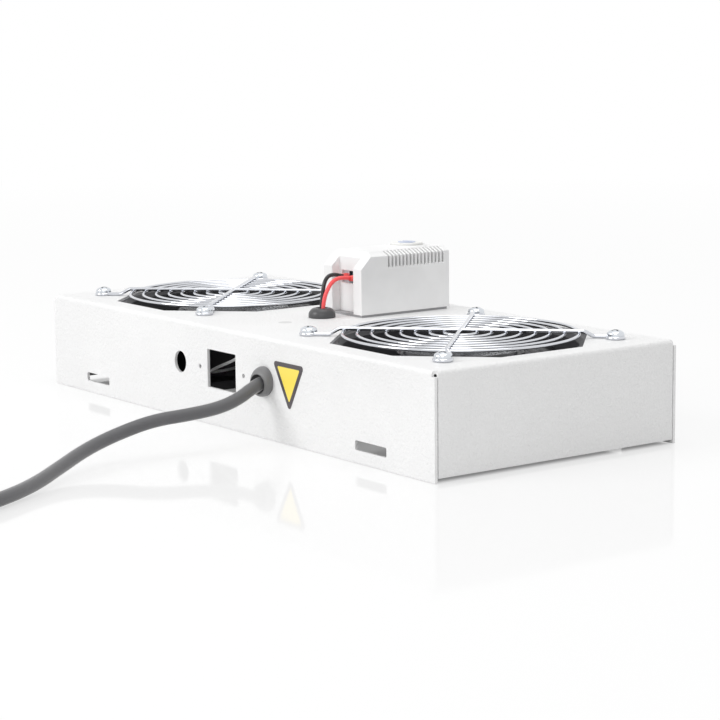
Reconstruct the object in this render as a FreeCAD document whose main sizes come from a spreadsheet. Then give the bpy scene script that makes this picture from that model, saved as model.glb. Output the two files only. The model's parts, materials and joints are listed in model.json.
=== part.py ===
import FreeCAD, Part
import math
import os

import Sketcher

V = FreeCAD.Vector
doc = FreeCAD.newDocument("rack_fan_tray")

# The sizes of the fan tray, in millimetres. X runs along its length, Y from the wall with the
# mains lead to the back, and Z up from the shelf that it stands on.
SIZES = [
    # The sheet-metal pan
    ("tray_length", 345, "outside length of the pan"),
    ("tray_depth", 146, "outside depth of the pan"),
    ("tray_height", 50, "height of the pan's top above the shelf"),
    ("sheet_thickness", 1.5, "steel sheet"),
    ("bend_radius", 2, "outside radius of the folded edges"),
    ("bend_inner_radius", 0.5, "inside radius of the folded edges"),
    ("end_lift", 2, "gap below the two end walls"),
    ("seam_gap", 0.5, "open seam at each corner of the pan"),
    ("relief_diameter", 3, "bend relief at each top corner"),
    ("relief_inset", 1, "centre of the bend relief from the two outer faces"),
    ("relief_depth", 2.6, "depth of the bend relief"),
    # The two fans and what holds them
    ("fan_pitch", 200, "from one fan's centre to the other's"),
    ("opening_across", 120, "octagonal air opening, across its flats"),
    ("fan_screw_pitch", 105, "square of the fan screws"),
    ("fan_screw_hole", 4.5, "clearance hole for a fan screw"),
    ("fan_width", 119.4, "outside width of a fan frame"),
    ("fan_height", 38, "depth of a fan frame"),
    ("fan_flange", 4.5, "thickness of a fan frame's two flanges"),
    ("fan_corner_cut", 5, "chamfer at a fan frame's corners"),
    ("duct_diameter", 114, "round air duct of a fan frame"),
    ("duct_wall", 2.2, "wall of the air duct"),
    ("duct_flare", 2.2, "flare of the duct's two mouths"),
    ("motor_mount_diameter", 60, "round plate that carries the motor"),
    ("motor_mount_thickness", 4, "thickness of the motor plate and its struts"),
    ("strut_width", 5.5, "width of a motor strut"),
    ("strut_count", 4, "struts of each motor plate"),
    ("bearing_tube_diameter", 15, "outside of the tube that holds the bearings"),
    ("bearing_tube_height", 21, "height of the bearing tube above the motor plate"),
    ("bearing_diameter", 11, "outside of a ball bearing"),
    ("bearing_width", 4, "width of a ball bearing"),
    ("bearing_seat", 0.02, "radial gap between a bearing and its tube"),
    ("shaft_diameter", 4, "rotor shaft"),
    ("shaft_running_gap", 0.04, "radial running gap between shaft and bearings"),
    ("stator_diameter", 46, "outside of the motor's windings"),
    ("stator_height", 15, "height of the motor's windings"),
    ("stator_seat", 0.1, "radial gap between the windings and the bearing tube"),
    ("stator_slots", 8, "winding poles"),
    ("hub_diameter", 62, "outside of the impeller hub"),
    ("hub_height", 27, "height of the impeller hub"),
    ("hub_wall", 3, "wall of the impeller hub"),
    ("hub_drop", 3.5, "impeller hub's top below the fan frame's top"),
    ("blade_count", 5, "blades of an impeller"),
    ("blade_gap", 1.5, "gap between the blade tips and the duct"),
    ("blade_root_chord", 32, "chord of a blade at the hub"),
    ("blade_tip_chord", 44, "chord of a blade at its tip"),
    ("blade_root_pitch", 42, "degrees between the root chord and the plane of rotation"),
    ("blade_tip_pitch", 27, "degrees between the tip chord and the plane of rotation"),
    ("blade_thickness", 1.6, "thickness of a blade"),
    ("blade_camber", 4, "rise of a blade's curved section"),
    # The chromed finger guards and the fan screws
    ("ring_count", 8, "rings of a finger guard"),
    ("ring_first_radius", 8, "radius of a guard's smallest ring"),
    ("ring_pitch", 7, "from one guard ring to the next"),
    ("ring_wire", 1.6, "wire of the rings"),
    ("cross_wire", 2, "wire of the two crossed supports"),
    ("cross_rise", 3.6, "centre of the crossed wires above the pan"),
    ("weld_sink", 0.3, "how far welded wires press into each other"),
    ("joggle_start", 60, "radius where a crossed wire starts to drop"),
    ("joggle_end", 65.5, "radius where it has reached the pan"),
    ("eyelet_diameter", 9, "outside of a guard's flattened eyelet"),
    ("eyelet_thickness", 1.6, "thickness of an eyelet"),
    ("screw_diameter", 4, "fan screw"),
    ("screw_head_diameter", 8, "pan head of a fan screw"),
    ("screw_head_height", 2.6, "height of the pan head"),
    ("screw_length", 12, "length of a fan screw under its head"),
    ("screw_clearance", 0.2, "radial gap between a fan screw and the eyelet"),
    ("nut_across", 7, "fan nut across its flats"),
    ("nut_height", 3.2, "height of a fan nut"),
    # The front wall
    ("inlet_width", 26, "width of the cut-out for an appliance inlet"),
    ("inlet_height", 19.5, "height of the inlet cut-out"),
    ("wall_hole_rise", 28.5, "centre line of the front wall's holes above the shelf"),
    ("inlet_screw_pitch", 40, "from one inlet screw hole to the other"),
    ("inlet_screw_hole", 2.4, "inlet screw hole"),
    ("gland_offset", 39, "lead bush and spare hole, either side of the middle"),
    ("gland_hole", 11.2, "hole for a lead bush"),
    ("slot_length", 24, "length of a fixing slot"),
    ("slot_height", 4.6, "height of a fixing slot"),
    ("slot_corner", 0.8, "corner radius of a fixing slot"),
    ("slot_offset", 125, "fixing slots, either side of the middle"),
    ("slot_rise", 8.3, "centre of a fixing slot above the shelf"),
    # The rubber bushes, the mains lead and its plug
    ("cord_diameter", 6.4, "mains lead"),
    ("bush_flange_diameter", 15.2, "flange of the lead bush"),
    ("bush_mouth_diameter", 10, "outer mouth of the lead bush"),
    ("bush_reach", 6.5, "how far the lead bush stands out of the wall"),
    ("bush_rim", 1.6, "straight rim of the lead bush at the wall"),
    ("bush_inner_reach", 3, "how far the lead bush reaches inside the wall"),
    ("bush_fit", 0.1, "radial gap between a bush and its hole"),
    ("cord_fit", 0.15, "radial gap between the mains lead and its bush"),
    ("coil_inner_diameter", 44.8, "inside of the coiled part of the mains lead"),
    ("coil_outer_diameter", 96, "outside of the coiled part"),
    ("coil_height", 12, "height of the coiled part"),
    ("coil_shoulder", 3.2, "how far the coil's upper turns stand in"),
    ("coil_x", 62.2, "middle of the coil along X"),
    ("coil_y", -296, "middle of the coil along Y"),
    ("plug_diameter", 37.6, "body of the mains plug"),
    ("plug_grip_length", 19, "straight part of the plug's body"),
    ("plug_shoulder_length", 10, "tapered part of the plug's body"),
    ("plug_neck_diameter", 17, "neck of the plug, where the strain relief starts"),
    ("plug_relief_length", 26, "tapered strain relief of the plug"),
    ("plug_relief_end", 9.4, "thin end of the strain relief"),
    ("plug_pin_diameter", 4.8, "contact pin"),
    ("plug_pin_length", 19, "length of a contact pin"),
    ("plug_pin_pitch", 19, "from one pin to the other"),
    ("plug_clip_width", 5, "side contact of the plug"),
    ("plug_clip_depth", 1.6, "thickness of the side contact"),
    ("plug_lift", 0.05, "gap between the lying plug and the shelf"),
    # The leads' bush in the pan, and the leads
    ("lead_bush_back", -11, "centre of the leads' bush along Y"),
    ("lead_hole", 9.5, "hole for the leads' bush"),
    ("lead_bush_diameter", 14, "dome of the leads' bush"),
    ("lead_bush_height", 5, "height of the dome above the pan"),
    ("lead_bush_top", 6.6, "flat top of the dome"),
    ("lead_bush_inner", 2.5, "how far the leads' bush reaches under the sheet"),
    ("lead_diameter", 2.1, "insulated lead"),
    ("lead_spacing", 2.3, "from one lead to the other in the bush"),
    # The thermostat
    ("thermostat_front", 2.2, "front end of the thermostat along Y"),
    ("thermostat_length", 57.5, "length of the thermostat"),
    ("thermostat_width", 33, "width of the thermostat"),
    ("thermostat_height", 33.2, "height of the thermostat without its collar"),
    ("base_thickness", 1.2, "dark base plate of the thermostat"),
    ("base_inset", 1, "base plate inside the housing's outline"),
    ("housing_wall", 1.8, "wall of the thermostat's housing"),
    ("front_chamfer", 8.2, "bevel at the housing's front end"),
    ("edge_chamfer_width", 5, "width of the bevel along the housing's top"),
    ("edge_chamfer_height", 2.2, "height of that bevel"),
    ("recess_width", 18.4, "terminal recess in the front end"),
    ("recess_depth", 5, "depth of the terminal recess"),
    ("terminal_rise", 19.3, "centre of the terminals above the pan"),
    ("terminal_window_width", 15, "window in front of the terminals"),
    ("terminal_window_height", 6.5, "height of that window"),
    ("terminal_pitch", 9, "from one terminal to the other"),
    ("terminal_width", 5.4, "width of a terminal clamp"),
    ("terminal_depth", 7, "depth of a terminal clamp"),
    ("terminal_screw_diameter", 3, "clamp screw"),
    ("terminal_screw_height", 2.2, "height of a clamp screw above its clamp"),
    ("cavity_front", 14, "hollow of the housing behind its front end"),
    ("roof_thickness", 3.6, "roof above the hollow"),
    ("vent_count", 16, "vent slots along each side"),
    ("vent_pitch", 2.35, "from one vent slot to the next"),
    ("vent_width", 1.1, "width of a vent slot"),
    ("vent_first", 18, "first vent slot behind the housing's front end"),
    ("vent_depth", 8.2, "how far a vent slot reaches down from the top"),
    ("dial_back", 42, "centre of the dial behind the housing's front end"),
    ("collar_diameter", 22, "foot of the collar around the dial"),
    ("collar_top_diameter", 19.2, "top of the collar"),
    ("collar_height", 0.8, "height of the collar"),
    ("dial_diameter", 17, "setting dial"),
    ("dial_gap", 0.25, "radial gap between dial and collar"),
    ("dial_seat", 1.6, "depth of the dial's seat below the roof"),
    ("dial_rise", 1.9, "top of the dial above the roof"),
    ("dial_cap_diameter", 9.2, "coloured cap in the dial"),
    ("dial_cap_depth", 0.8, "depth of the cap's seat"),
    ("dial_cap_rise", 0.3, "top of the cap above the dial"),
    ("dial_slot_width", 1.4, "screwdriver slot in the cap"),
    ("dial_slot_depth", 0.7, "depth of that slot"),
    ("spindle_diameter", 4, "spindle under the dial"),
    ("spindle_gap", 0.05, "radial running gap of the spindle"),
    ("spindle_length", 9, "length of the spindle below the dial"),
    ("switch_width", 18, "snap switch inside the housing"),
    ("switch_length", 22, "length of the snap switch"),
    ("switch_height", 12, "height of the snap switch"),
    ("bimetal_thickness", 0.6, "bimetal strip on the snap switch"),
    ("bimetal_width", 8, "width of the bimetal strip"),
    ("boss_diameter", 7, "screw bosses of the base plate"),
    ("boss_height", 8, "height of the screw bosses"),
    ("base_screw_front", 20, "front base screw behind the housing's front end"),
    ("base_screw_back", 50, "rear base screw behind the housing's front end"),
    ("base_screw_diameter", 3, "base screw"),
    ("base_screw_hole", 3.4, "hole for a base screw"),
    ("base_screw_head", 5.8, "head of a base screw"),
    ("base_screw_head_height", 2.2, "height of that head"),
    ("base_screw_reach", 6, "base screw's reach above the pan"),
    # The wiring under the pan
    ("stud_x", 3, "earth stud along X"),
    ("stud_y", -36, "earth stud along Y"),
    ("stud_head", 7, "flush head of the pressed-in stud"),
    ("stud_head_height", 0.8, "height of the stud's flush head"),
    ("stud_diameter", 4, "earth stud"),
    ("stud_length", 26, "length of the stud under the pan"),
    ("block_length", 30, "terminal block along X"),
    ("block_width", 17, "terminal block along Y"),
    ("block_height", 15, "height of the terminal block"),
    ("block_poles", 3, "poles of the terminal block"),
    ("block_bore", 4.4, "wire entries of the terminal block"),
    ("block_screw", 4, "clamp screws of the terminal block"),
    ("block_screw_height", 3, "length of those clamp screws"),
    ("ring_thickness", 0.8, "tag and washer of the earth lead"),
    ("ring_diameter", 8.4, "ring tag of the earth lead"),
    ("tag_length", 12.5, "from the stud to the end of the tag's tongue"),
    ("core_diameter", 2.4, "one core of the mains lead"),
    ("fan_lead_diameter", 4, "sheathed lead of a fan"),
    ("core_spread", 1.4, "from the mains lead's axis to a core's axis"),
    ("ferrule_length", 4.6, "coloured collar at a lead's end"),
    ("ferrule_diameter", 2.8, "thin end of the collar"),
    ("ferrule_flare", 3.7, "wide end of the collar"),
]


class Size:
    """A length that knows both its number and the sheet formula that gives it."""

    def __init__(self, value, text):
        self.value = float(value)
        self.text = text

    def __add__(self, other):
        return Size(self.value + number(other), "(%s + %s)" % (self.text, formula(other)))

    def __radd__(self, other):
        return Size(number(other) + self.value, "(%s + %s)" % (formula(other), self.text))

    def __sub__(self, other):
        return Size(self.value - number(other), "(%s - %s)" % (self.text, formula(other)))

    def __rsub__(self, other):
        return Size(number(other) - self.value, "(%s - %s)" % (formula(other), self.text))

    def __mul__(self, other):
        return Size(self.value * number(other), "(%s * %s)" % (self.text, formula(other)))

    def __rmul__(self, other):
        return Size(number(other) * self.value, "(%s * %s)" % (formula(other), self.text))

    def __truediv__(self, other):
        return Size(self.value / number(other), "(%s / %s)" % (self.text, formula(other)))

    def __neg__(self):
        return Size(-self.value, "(0 - %s)" % self.text)


def number(size):
    """The plain number of a size."""
    return size.value if isinstance(size, Size) else float(size)


def formula(size):
    """The sheet formula of a size."""
    return size.text if isinstance(size, Size) else repr(float(size))


class Sheet:
    """The document's sheet of sizes, one named cell each."""

    def __init__(self, rows):
        self.cells = doc.addObject("Spreadsheet::Sheet", "sizes")
        for index, (alias, value, note) in enumerate(rows, 1):
            self.cells.set("A%d" % index, note)
            self.cells.set("B%d" % index, str(value))
            self.cells.setAlias("B%d" % index, alias)
        doc.recompute()

    def __getattr__(self, alias):
        return Size(self.cells.get(alias), "sizes." + alias)


s = Sheet(SIZES)

# Small round things have few flat sides: a screw's head, and a thread with the hole it fills
SCREW_SIDES = 12
THREAD_SIDES = 8


# Helpers for the drawn bodies

def new_body(name):
    body = doc.addObject("PartDesign::Body", name)
    body.Label = name
    return body


def place(body, x=0, y=0, z=0):
    """Sets a body's place from sizes."""
    for axis, size in (("x", x), ("y", y), ("z", z)):
        if isinstance(size, Size):
            body.setExpression(".Placement.Base." + axis, size.text)
        elif size:
            body.setExpression(".Placement.Base." + axis, repr(float(size)))


def origin_feature(body, role):
    for feature in body.Origin.OriginFeatures:
        if feature.Role == role:
            return feature
    raise ValueError(role)


def new_sketch(body, role, lift=0):
    """A sketch on one of the body's own planes, lifted along that plane's normal."""
    sketch = body.newObject("Sketcher::SketchObject", "sketch")
    sketch.AttachmentSupport = [(origin_feature(body, role), "")]
    sketch.MapMode = "FlatFace"
    sketch.setExpression("AttachmentOffset.Base.z", formula(lift))
    return sketch


def fix(sketch, kind, where, size):
    """Adds one dimension to a sketch and binds it to the sheet."""
    index = sketch.addConstraint(Sketcher.Constraint(kind, *where, number(size)))
    sketch.setExpression("Constraints[%d]" % index, formula(size))


def outline(sketch, points):
    """A closed outline of straight edges, each corner at its own place."""
    first = sketch.GeometryCount
    count = len(points)
    for index in range(count):
        start = V(number(points[index][0]), number(points[index][1]), 0)
        after = points[(index + 1) % count]
        end = V(number(after[0]), number(after[1]), 0)
        sketch.addGeometry(Part.LineSegment(start, end), False)
    for index in range(count):
        following = first + (index + 1) % count
        sketch.addConstraint(Sketcher.Constraint("Coincident", first + index, 2, following, 1))
    for index, (x, y) in enumerate(points):
        fix(sketch, "DistanceX", (-1, 1, first + index, 1), x)
        fix(sketch, "DistanceY", (-1, 1, first + index, 1), y)


def rectangle(sketch, width, height, x=0, y=0):
    """A rectangle around a centre."""
    left = x - width / 2
    right = x + width / 2
    low = y - height / 2
    high = y + height / 2
    outline(sketch, [(left, low), (right, low), (right, high), (left, high)])


def circle(sketch, diameter, x=0, y=0):
    centre = V(number(x), number(y), 0)
    sketch.addGeometry(Part.Circle(centre, V(0, 0, 1), number(diameter) / 2), False)
    index = sketch.GeometryCount - 1
    fix(sketch, "DistanceX", (-1, 1, index, 3), x)
    fix(sketch, "DistanceY", (-1, 1, index, 3), y)
    fix(sketch, "Diameter", (index,), diameter)


def polygon(sketch, count, across, x=0, y=0):
    """A regular outline of so many sides, from flat to flat, with flats square to the axes."""
    reach = across / (2 * math.cos(math.pi / count))
    points = []
    for index in range(count):
        angle = (2 * index + 1) * math.pi / count
        points.append((x + reach * math.cos(angle), y + reach * math.sin(angle)))
    outline(sketch, points)


def pad(body, sketch, length, down=False, both=False):
    feature = body.newObject("PartDesign::Pad", "pad")
    feature.Profile = sketch
    feature.setExpression("Length", formula(length))
    feature.Reversed = down
    feature.Midplane = both
    doc.recompute()
    return feature


def pocket(body, sketch, depth=None, up=False, both=False):
    """Cuts a sketch out of the body. Without a depth it cuts right through."""
    before = body.Shape.Volume
    feature = body.newObject("PartDesign::Pocket", "pocket")
    feature.Profile = sketch
    if depth is None:
        feature.Type = "ThroughAll"
    else:
        feature.setExpression("Length", formula(depth))
    feature.Reversed = up
    feature.Midplane = both
    doc.recompute()
    if body.Shape.Volume >= before - 1e-6:
        raise ValueError("a pocket of %s cuts nothing" % body.Label)
    return feature


def revolve(body, sketch, axis="V_Axis"):
    feature = body.newObject("PartDesign::Revolution", "revolution")
    feature.Profile = sketch
    feature.ReferenceAxis = (sketch, [axis])
    feature.Angle = 360
    doc.recompute()
    return feature


def groove(body, sketch, axis="V_Axis"):
    before = body.Shape.Volume
    feature = body.newObject("PartDesign::Groove", "groove")
    feature.Profile = sketch
    feature.ReferenceAxis = (sketch, [axis])
    feature.Angle = 360
    doc.recompute()
    if body.Shape.Volume >= before - 1e-6:
        raise ValueError("a groove of %s cuts nothing" % body.Label)
    return feature


def edges_where(body, test):
    """Names of the tip's edges whose two ends, as vectors, pass a test."""
    names = []
    for index, edge in enumerate(body.Shape.Edges, 1):
        ends = [vertex.Point - body.Placement.Base for vertex in edge.Vertexes]
        if len(ends) == 2 and test(ends[0], ends[1]):
            names.append("Edge%d" % index)
    return names


def near(first, second):
    return abs(number(first) - number(second)) < 1e-4


def fillet(body, names, radius):
    base = body.Tip
    feature = body.newObject("PartDesign::Fillet", "fillet")
    feature.Base = (base, names)
    feature.setExpression("Radius", formula(radius))
    doc.recompute()
    return feature


def chamfer(body, names, size):
    base = body.Tip
    feature = body.newObject("PartDesign::Chamfer", "chamfer")
    feature.Base = (base, names)
    feature.setExpression("Size", formula(size))
    doc.recompute()
    return feature


def turn_pattern(body, features, count, axis="Z_Axis"):
    """Repeats features around one of the body's own axes."""
    feature = body.newObject("PartDesign::PolarPattern", "around")
    feature.Originals = features
    feature.Axis = (origin_feature(body, axis), [""])
    feature.Angle = 360
    feature.setExpression("Occurrences", formula(count))
    body.Tip = feature
    doc.recompute()
    return feature


def row_pattern(body, features, count, pitch, axis):
    """Repeats features in a row along one of the body's own axes."""
    feature = body.newObject("PartDesign::LinearPattern", "row")
    feature.Originals = features
    feature.Direction = (origin_feature(body, axis), [""])
    feature.setExpression("Occurrences", formula(count))
    feature.setExpression("Length", formula(pitch * (count - 1)))
    body.Tip = feature
    doc.recompute()
    return feature


def turned(name, points, x=0, y=0, z=0):
    """A body turned around its own Z axis from a half profile of (radius, height) points."""
    body = new_body(name)
    sketch = new_sketch(body, "XZ_Plane")
    outline(sketch, points)
    revolve(body, sketch)
    place(body, x, y, z)
    return body


# Helpers for wires and cords

def rounded_path(points, share=0.45):
    """Straight runs and tangent arcs through a route, with the radius of each arc.

    Each arc's tangent length is a share of the shorter run beside its point.
    """
    edges = []
    radii = []
    start = points[0]
    for index in range(1, len(points) - 1):
        back = points[index - 1] - points[index]
        ahead = points[index + 1] - points[index]
        turn = math.pi - back.getAngle(ahead)
        reach = share * min(back.Length, ahead.Length)
        back.normalize()
        ahead.normalize()
        arc_start = points[index] + back * reach
        arc_end = points[index] + ahead * reach
        radius = reach / math.tan(turn / 2)
        inward = back + ahead
        inward.normalize()
        centre = points[index] + inward * (radius / math.cos(turn / 2))
        middle = centre - inward * radius
        edges.append(Part.LineSegment(start, arc_start).toShape())
        edges.append(Part.Arc(arc_start, middle, arc_end).toShape())
        radii.append(radius)
        start = arc_end
    edges.append(Part.LineSegment(start, points[-1]).toShape())
    return Part.Wire(edges), radii


def ring_of_points(sides, radius):
    """The corners of a regular polygon around the Z axis, with the first one given again at the end."""
    corners = []
    for index in range(sides + 1):
        angle = math.pi * (2 * (index % sides) + 1) / sides
        corners.append(V(radius * math.cos(angle), radius * math.sin(angle), 0))
    return corners


def prism(sides, across, height):
    """A regular prism that stands on the XY plane, as wide as given from flat to flat."""
    corners = ring_of_points(sides, across / 2 / math.cos(math.pi / sides))
    return Part.Face(Part.makePolygon(corners)).extrude(V(0, 0, height))


def tube_shape(points, diameter, share=0.45, sides=6):
    """A many-sided solid along a route, the radii of its bends and the length of its path."""
    path, radii = rounded_path(points, share)
    turn = FreeCAD.Rotation(V(0, 0, 1), points[1] - points[0])
    radius = diameter / 2
    corners = [points[0] + turn.multVec(corner) for corner in ring_of_points(sides, radius)]
    section = Part.makePolygon(corners)
    solid = path.makePipeShell([section], True, False)
    area = sides / 2 * radius ** 2 * math.sin(2 * math.pi / sides)
    expected = area * path.Length
    if abs(solid.Volume - expected) > 0.01 * expected:
        raise ValueError("a tube holds %.1f, not %.1f" % (solid.Volume, expected))
    return solid, radii, path.Length


def feature_of(name, shape, placement=None):
    """A sub-part whose shape is worked out here."""
    feature = doc.addObject("Part::Feature", name)
    feature.Label = name
    feature.Shape = shape
    if placement is not None:
        feature.Placement = placement
    return feature


parts = []

# Heights and places that several pieces share
top = s.tray_height
underside = s.tray_height - s.sheet_thickness
front_face = s.tray_depth / 2
fan_bottom = underside - s.fan_height
SIDES = (("left", -1), ("right", 1))


def fan_centre(side):
    return s.fan_pitch / 2 * side


def build_tray():
    """The pan: one sheet, four walls folded down, with all its openings."""
    body = new_body("tray_shell")
    blank = new_sketch(body, "XY_Plane")
    rectangle(blank, s.tray_length, s.tray_depth)
    pad(body, blank, s.tray_height)
    height = number(s.tray_height)
    bends = edges_where(body, lambda a, b: near(a.z, height) and near(b.z, height))
    fillet(body, bends, s.bend_radius)

    hollow = new_sketch(body, "XY_Plane")
    rectangle(hollow, s.tray_length - 2 * s.sheet_thickness, s.tray_depth - 2 * s.sheet_thickness)
    pocket(body, hollow, underside, up=True)
    ceiling = number(underside)
    folds = edges_where(body, lambda a, b: near(a.z, ceiling) and near(b.z, ceiling))
    fillet(body, folds, s.bend_inner_radius)

    # The end walls stop short of the front and rear walls, and of the shelf.
    seams = new_sketch(body, "XY_Plane")
    seam_x = (s.tray_length - s.sheet_thickness) / 2
    seam_y = front_face - s.sheet_thickness - s.seam_gap / 2
    for x_side in (-1, 1):
        for y_side in (-1, 1):
            rectangle(seams, 2 * s.sheet_thickness, s.seam_gap, seam_x * x_side, seam_y * y_side)
    pocket(body, seams, top - s.bend_radius, up=True)

    reliefs = new_sketch(body, "XY_Plane", top)
    relief_x = s.tray_length / 2 - s.relief_inset
    relief_y = front_face - s.relief_inset
    for x_side in (-1, 1):
        for y_side in (-1, 1):
            circle(reliefs, s.relief_diameter, relief_x * x_side, relief_y * y_side)
    pocket(body, reliefs, s.relief_depth)

    lift = new_sketch(body, "YZ_Plane")
    rectangle(lift, s.tray_depth - 2 * s.sheet_thickness, s.end_lift, 0, s.end_lift / 2)
    pocket(body, lift, 2 * s.tray_length, both=True)

    openings = new_sketch(body, "XY_Plane", top)
    for name, side in SIDES:
        polygon(openings, 8, s.opening_across, fan_centre(side))
        for x_side in (-1, 1):
            for y_side in (-1, 1):
                x = fan_centre(side) + s.fan_screw_pitch / 2 * x_side
                circle(openings, s.fan_screw_hole, x, s.fan_screw_pitch / 2 * y_side)
    circle(openings, s.lead_hole, 0, s.lead_bush_back)
    circle(openings, s.base_screw_hole, 0, s.thermostat_front + s.base_screw_front)
    circle(openings, s.base_screw_hole, 0, s.thermostat_front + s.base_screw_back)
    polygon(openings, THREAD_SIDES, s.stud_diameter, s.stud_x, s.stud_y)
    pocket(body, openings, 2 * s.sheet_thickness)

    stud_seat = new_sketch(body, "XY_Plane", top)
    circle(stud_seat, s.stud_head, s.stud_x, s.stud_y)
    pocket(body, stud_seat, s.stud_head_height)

    wall = new_sketch(body, "XZ_Plane", front_face)
    rectangle(wall, s.inlet_width, s.inlet_height, 0, s.wall_hole_rise)
    for side in (-1, 1):
        circle(wall, s.inlet_screw_hole, s.inlet_screw_pitch / 2 * side, s.wall_hole_rise)
        circle(wall, s.gland_hole, s.gland_offset * side, s.wall_hole_rise)
    pocket(body, wall, 2 * s.sheet_thickness)

    slots = new_sketch(body, "XZ_Plane")
    for side in (-1, 1):
        rectangle(slots, s.slot_length, s.slot_height, s.slot_offset * side, s.slot_rise)
    pocket(body, slots, 2 * s.tray_depth, both=True)
    half_height = number(s.slot_height) / 2
    rise = number(s.slot_rise)
    corners = edges_where(body, lambda a, b: near(a.x, b.x) and near(a.z, b.z)
                          and near(abs(a.z - rise), half_height)
                          and near(abs(a.y - b.y), s.sheet_thickness))
    fillet(body, corners, s.slot_corner)
    return body


parts.append(build_tray())


def build_fan_frame(name, side):
    """A cast fan frame: two square flanges, a round duct, four struts and the motor plate."""
    body = new_body("fan_frame_" + name)
    for level in (0, s.fan_height - s.fan_flange):
        flange = new_sketch(body, "XY_Plane", level)
        half = s.fan_width / 2
        inner = half - s.fan_corner_cut
        outline(flange, [(-inner, -half), (inner, -half), (half, -inner), (half, inner),
                         (inner, half), (-inner, half), (-half, inner), (-half, -inner)])
        pad(body, flange, s.fan_flange)
        if number(level) == 0:
            tube = new_sketch(body, "XY_Plane")
            circle(tube, s.duct_diameter + 2 * s.duct_wall)
            pad(body, tube, s.fan_height)

    # The duct, flared at its two mouths
    duct = new_sketch(body, "XZ_Plane")
    radius = s.duct_diameter / 2
    mouth = radius + s.duct_flare
    outline(duct, [(0, 0), (mouth, 0), (radius, s.duct_flare), (radius, s.fan_height - s.duct_flare),
                   (mouth, s.fan_height), (0, s.fan_height)])
    groove(body, duct)

    plate = new_sketch(body, "XY_Plane")
    circle(plate, s.motor_mount_diameter)
    pad(body, plate, s.motor_mount_thickness)
    strut = new_sketch(body, "XY_Plane")
    inner = s.motor_mount_diameter / 2 - s.strut_width
    outer = s.duct_diameter / 2 + s.duct_wall / 2
    rectangle(strut, outer - inner, s.strut_width, (outer + inner) / 2, 0)
    arm = pad(body, strut, s.motor_mount_thickness)
    turn_pattern(body, [arm], s.strut_count)

    tube = new_sketch(body, "XY_Plane")
    circle(tube, s.bearing_tube_diameter)
    pad(body, tube, s.motor_mount_thickness + s.bearing_tube_height)
    bore = new_sketch(body, "XY_Plane", s.motor_mount_thickness / 2)
    circle(bore, s.bearing_diameter + 2 * s.bearing_seat)
    pocket(body, bore, s.fan_height, up=True)

    holes = new_sketch(body, "XY_Plane", s.fan_height)
    for x_side in (-1, 1):
        for y_side in (-1, 1):
            half = s.fan_screw_pitch / 2
            circle(holes, s.fan_screw_hole, half * x_side, half * y_side)
    pocket(body, holes)
    place(body, fan_centre(side), 0, fan_bottom)
    return body


def build_stator(name, side):
    """The motor's laminated core with its windings, pressed on the bearing tube."""
    body = new_body("fan_stator_" + name)
    core = new_sketch(body, "XY_Plane")
    circle(core, s.stator_diameter)
    circle(core, s.bearing_tube_diameter + 2 * s.stator_seat)
    pad(body, core, s.stator_height)
    slot = new_sketch(body, "XY_Plane")
    inner = s.bearing_tube_diameter / 2 + s.hub_wall
    outer = s.stator_diameter / 2 + s.hub_wall
    rectangle(slot, outer - inner, s.hub_wall, (outer + inner) / 2, 0)
    cut = pocket(body, slot, s.stator_height, up=True)
    turn_pattern(body, [cut], s.stator_slots)
    place(body, fan_centre(side), 0, fan_bottom + s.motor_mount_thickness)
    return body


def bearing_levels():
    """Undersides of the two bearings above the fan frame's underside."""
    lower = s.motor_mount_thickness / 2
    upper = s.motor_mount_thickness + s.bearing_tube_height - s.bearing_width
    return (lower, upper)


def build_bearings(name, side):
    """The two ball bearings of a motor, at the two ends of their tube."""
    rings = []
    for level in bearing_levels():
        outer = Part.makeCylinder(number(s.bearing_diameter) / 2, number(s.bearing_width))
        inner = Part.makeCylinder(number(s.shaft_diameter) / 2 + number(s.shaft_running_gap),
                                  number(s.bearing_width))
        ring = outer.cut(inner)
        ring.translate(V(number(fan_centre(side)), 0, number(fan_bottom + level)))
        rings.append(ring)
    return feature_of("fan_bearings_" + name, Part.makeCompound(rings))


hub_top = s.fan_height - s.hub_drop
hub_bottom = hub_top - s.hub_height


def build_shaft(name, side):
    """The rotor shaft, from the lower bearing up into the impeller's hub."""
    start = bearing_levels()[0] + s.bearing_width / 4
    end = hub_top - s.hub_wall / 3
    body = new_body("rotor_shaft_" + name)
    section = new_sketch(body, "XY_Plane")
    circle(section, s.shaft_diameter)
    pad(body, section, end - start)
    place(body, fan_centre(side), 0, fan_bottom + start)
    return body


# A blade's curved faces are made of flat ones: so many steps along its chord and its span.
BLADE_CHORD_STEPS = 4
BLADE_SPAN_STEPS = 2


def blade_section(radius, chord, pitch):
    """The corners of a thin curved section across a blade, in the plane square to its radius."""
    turn = FreeCAD.Rotation(V(1, 0, 0), pitch)
    lower = []
    upper = []
    for step in range(BLADE_CHORD_STEPS + 1):
        along = 2 * step / BLADE_CHORD_STEPS - 1
        rise = number(s.blade_camber) * (1 - along ** 2)
        lower.append(turn.multVec(V(radius, chord / 2 * along, rise)))
        upper.append(turn.multVec(V(radius, chord / 2 * along, rise + number(s.blade_thickness))))
    return lower + upper[::-1]


def flat_face(corners):
    return Part.Face(Part.makePolygon(corners + [corners[0]]))


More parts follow.
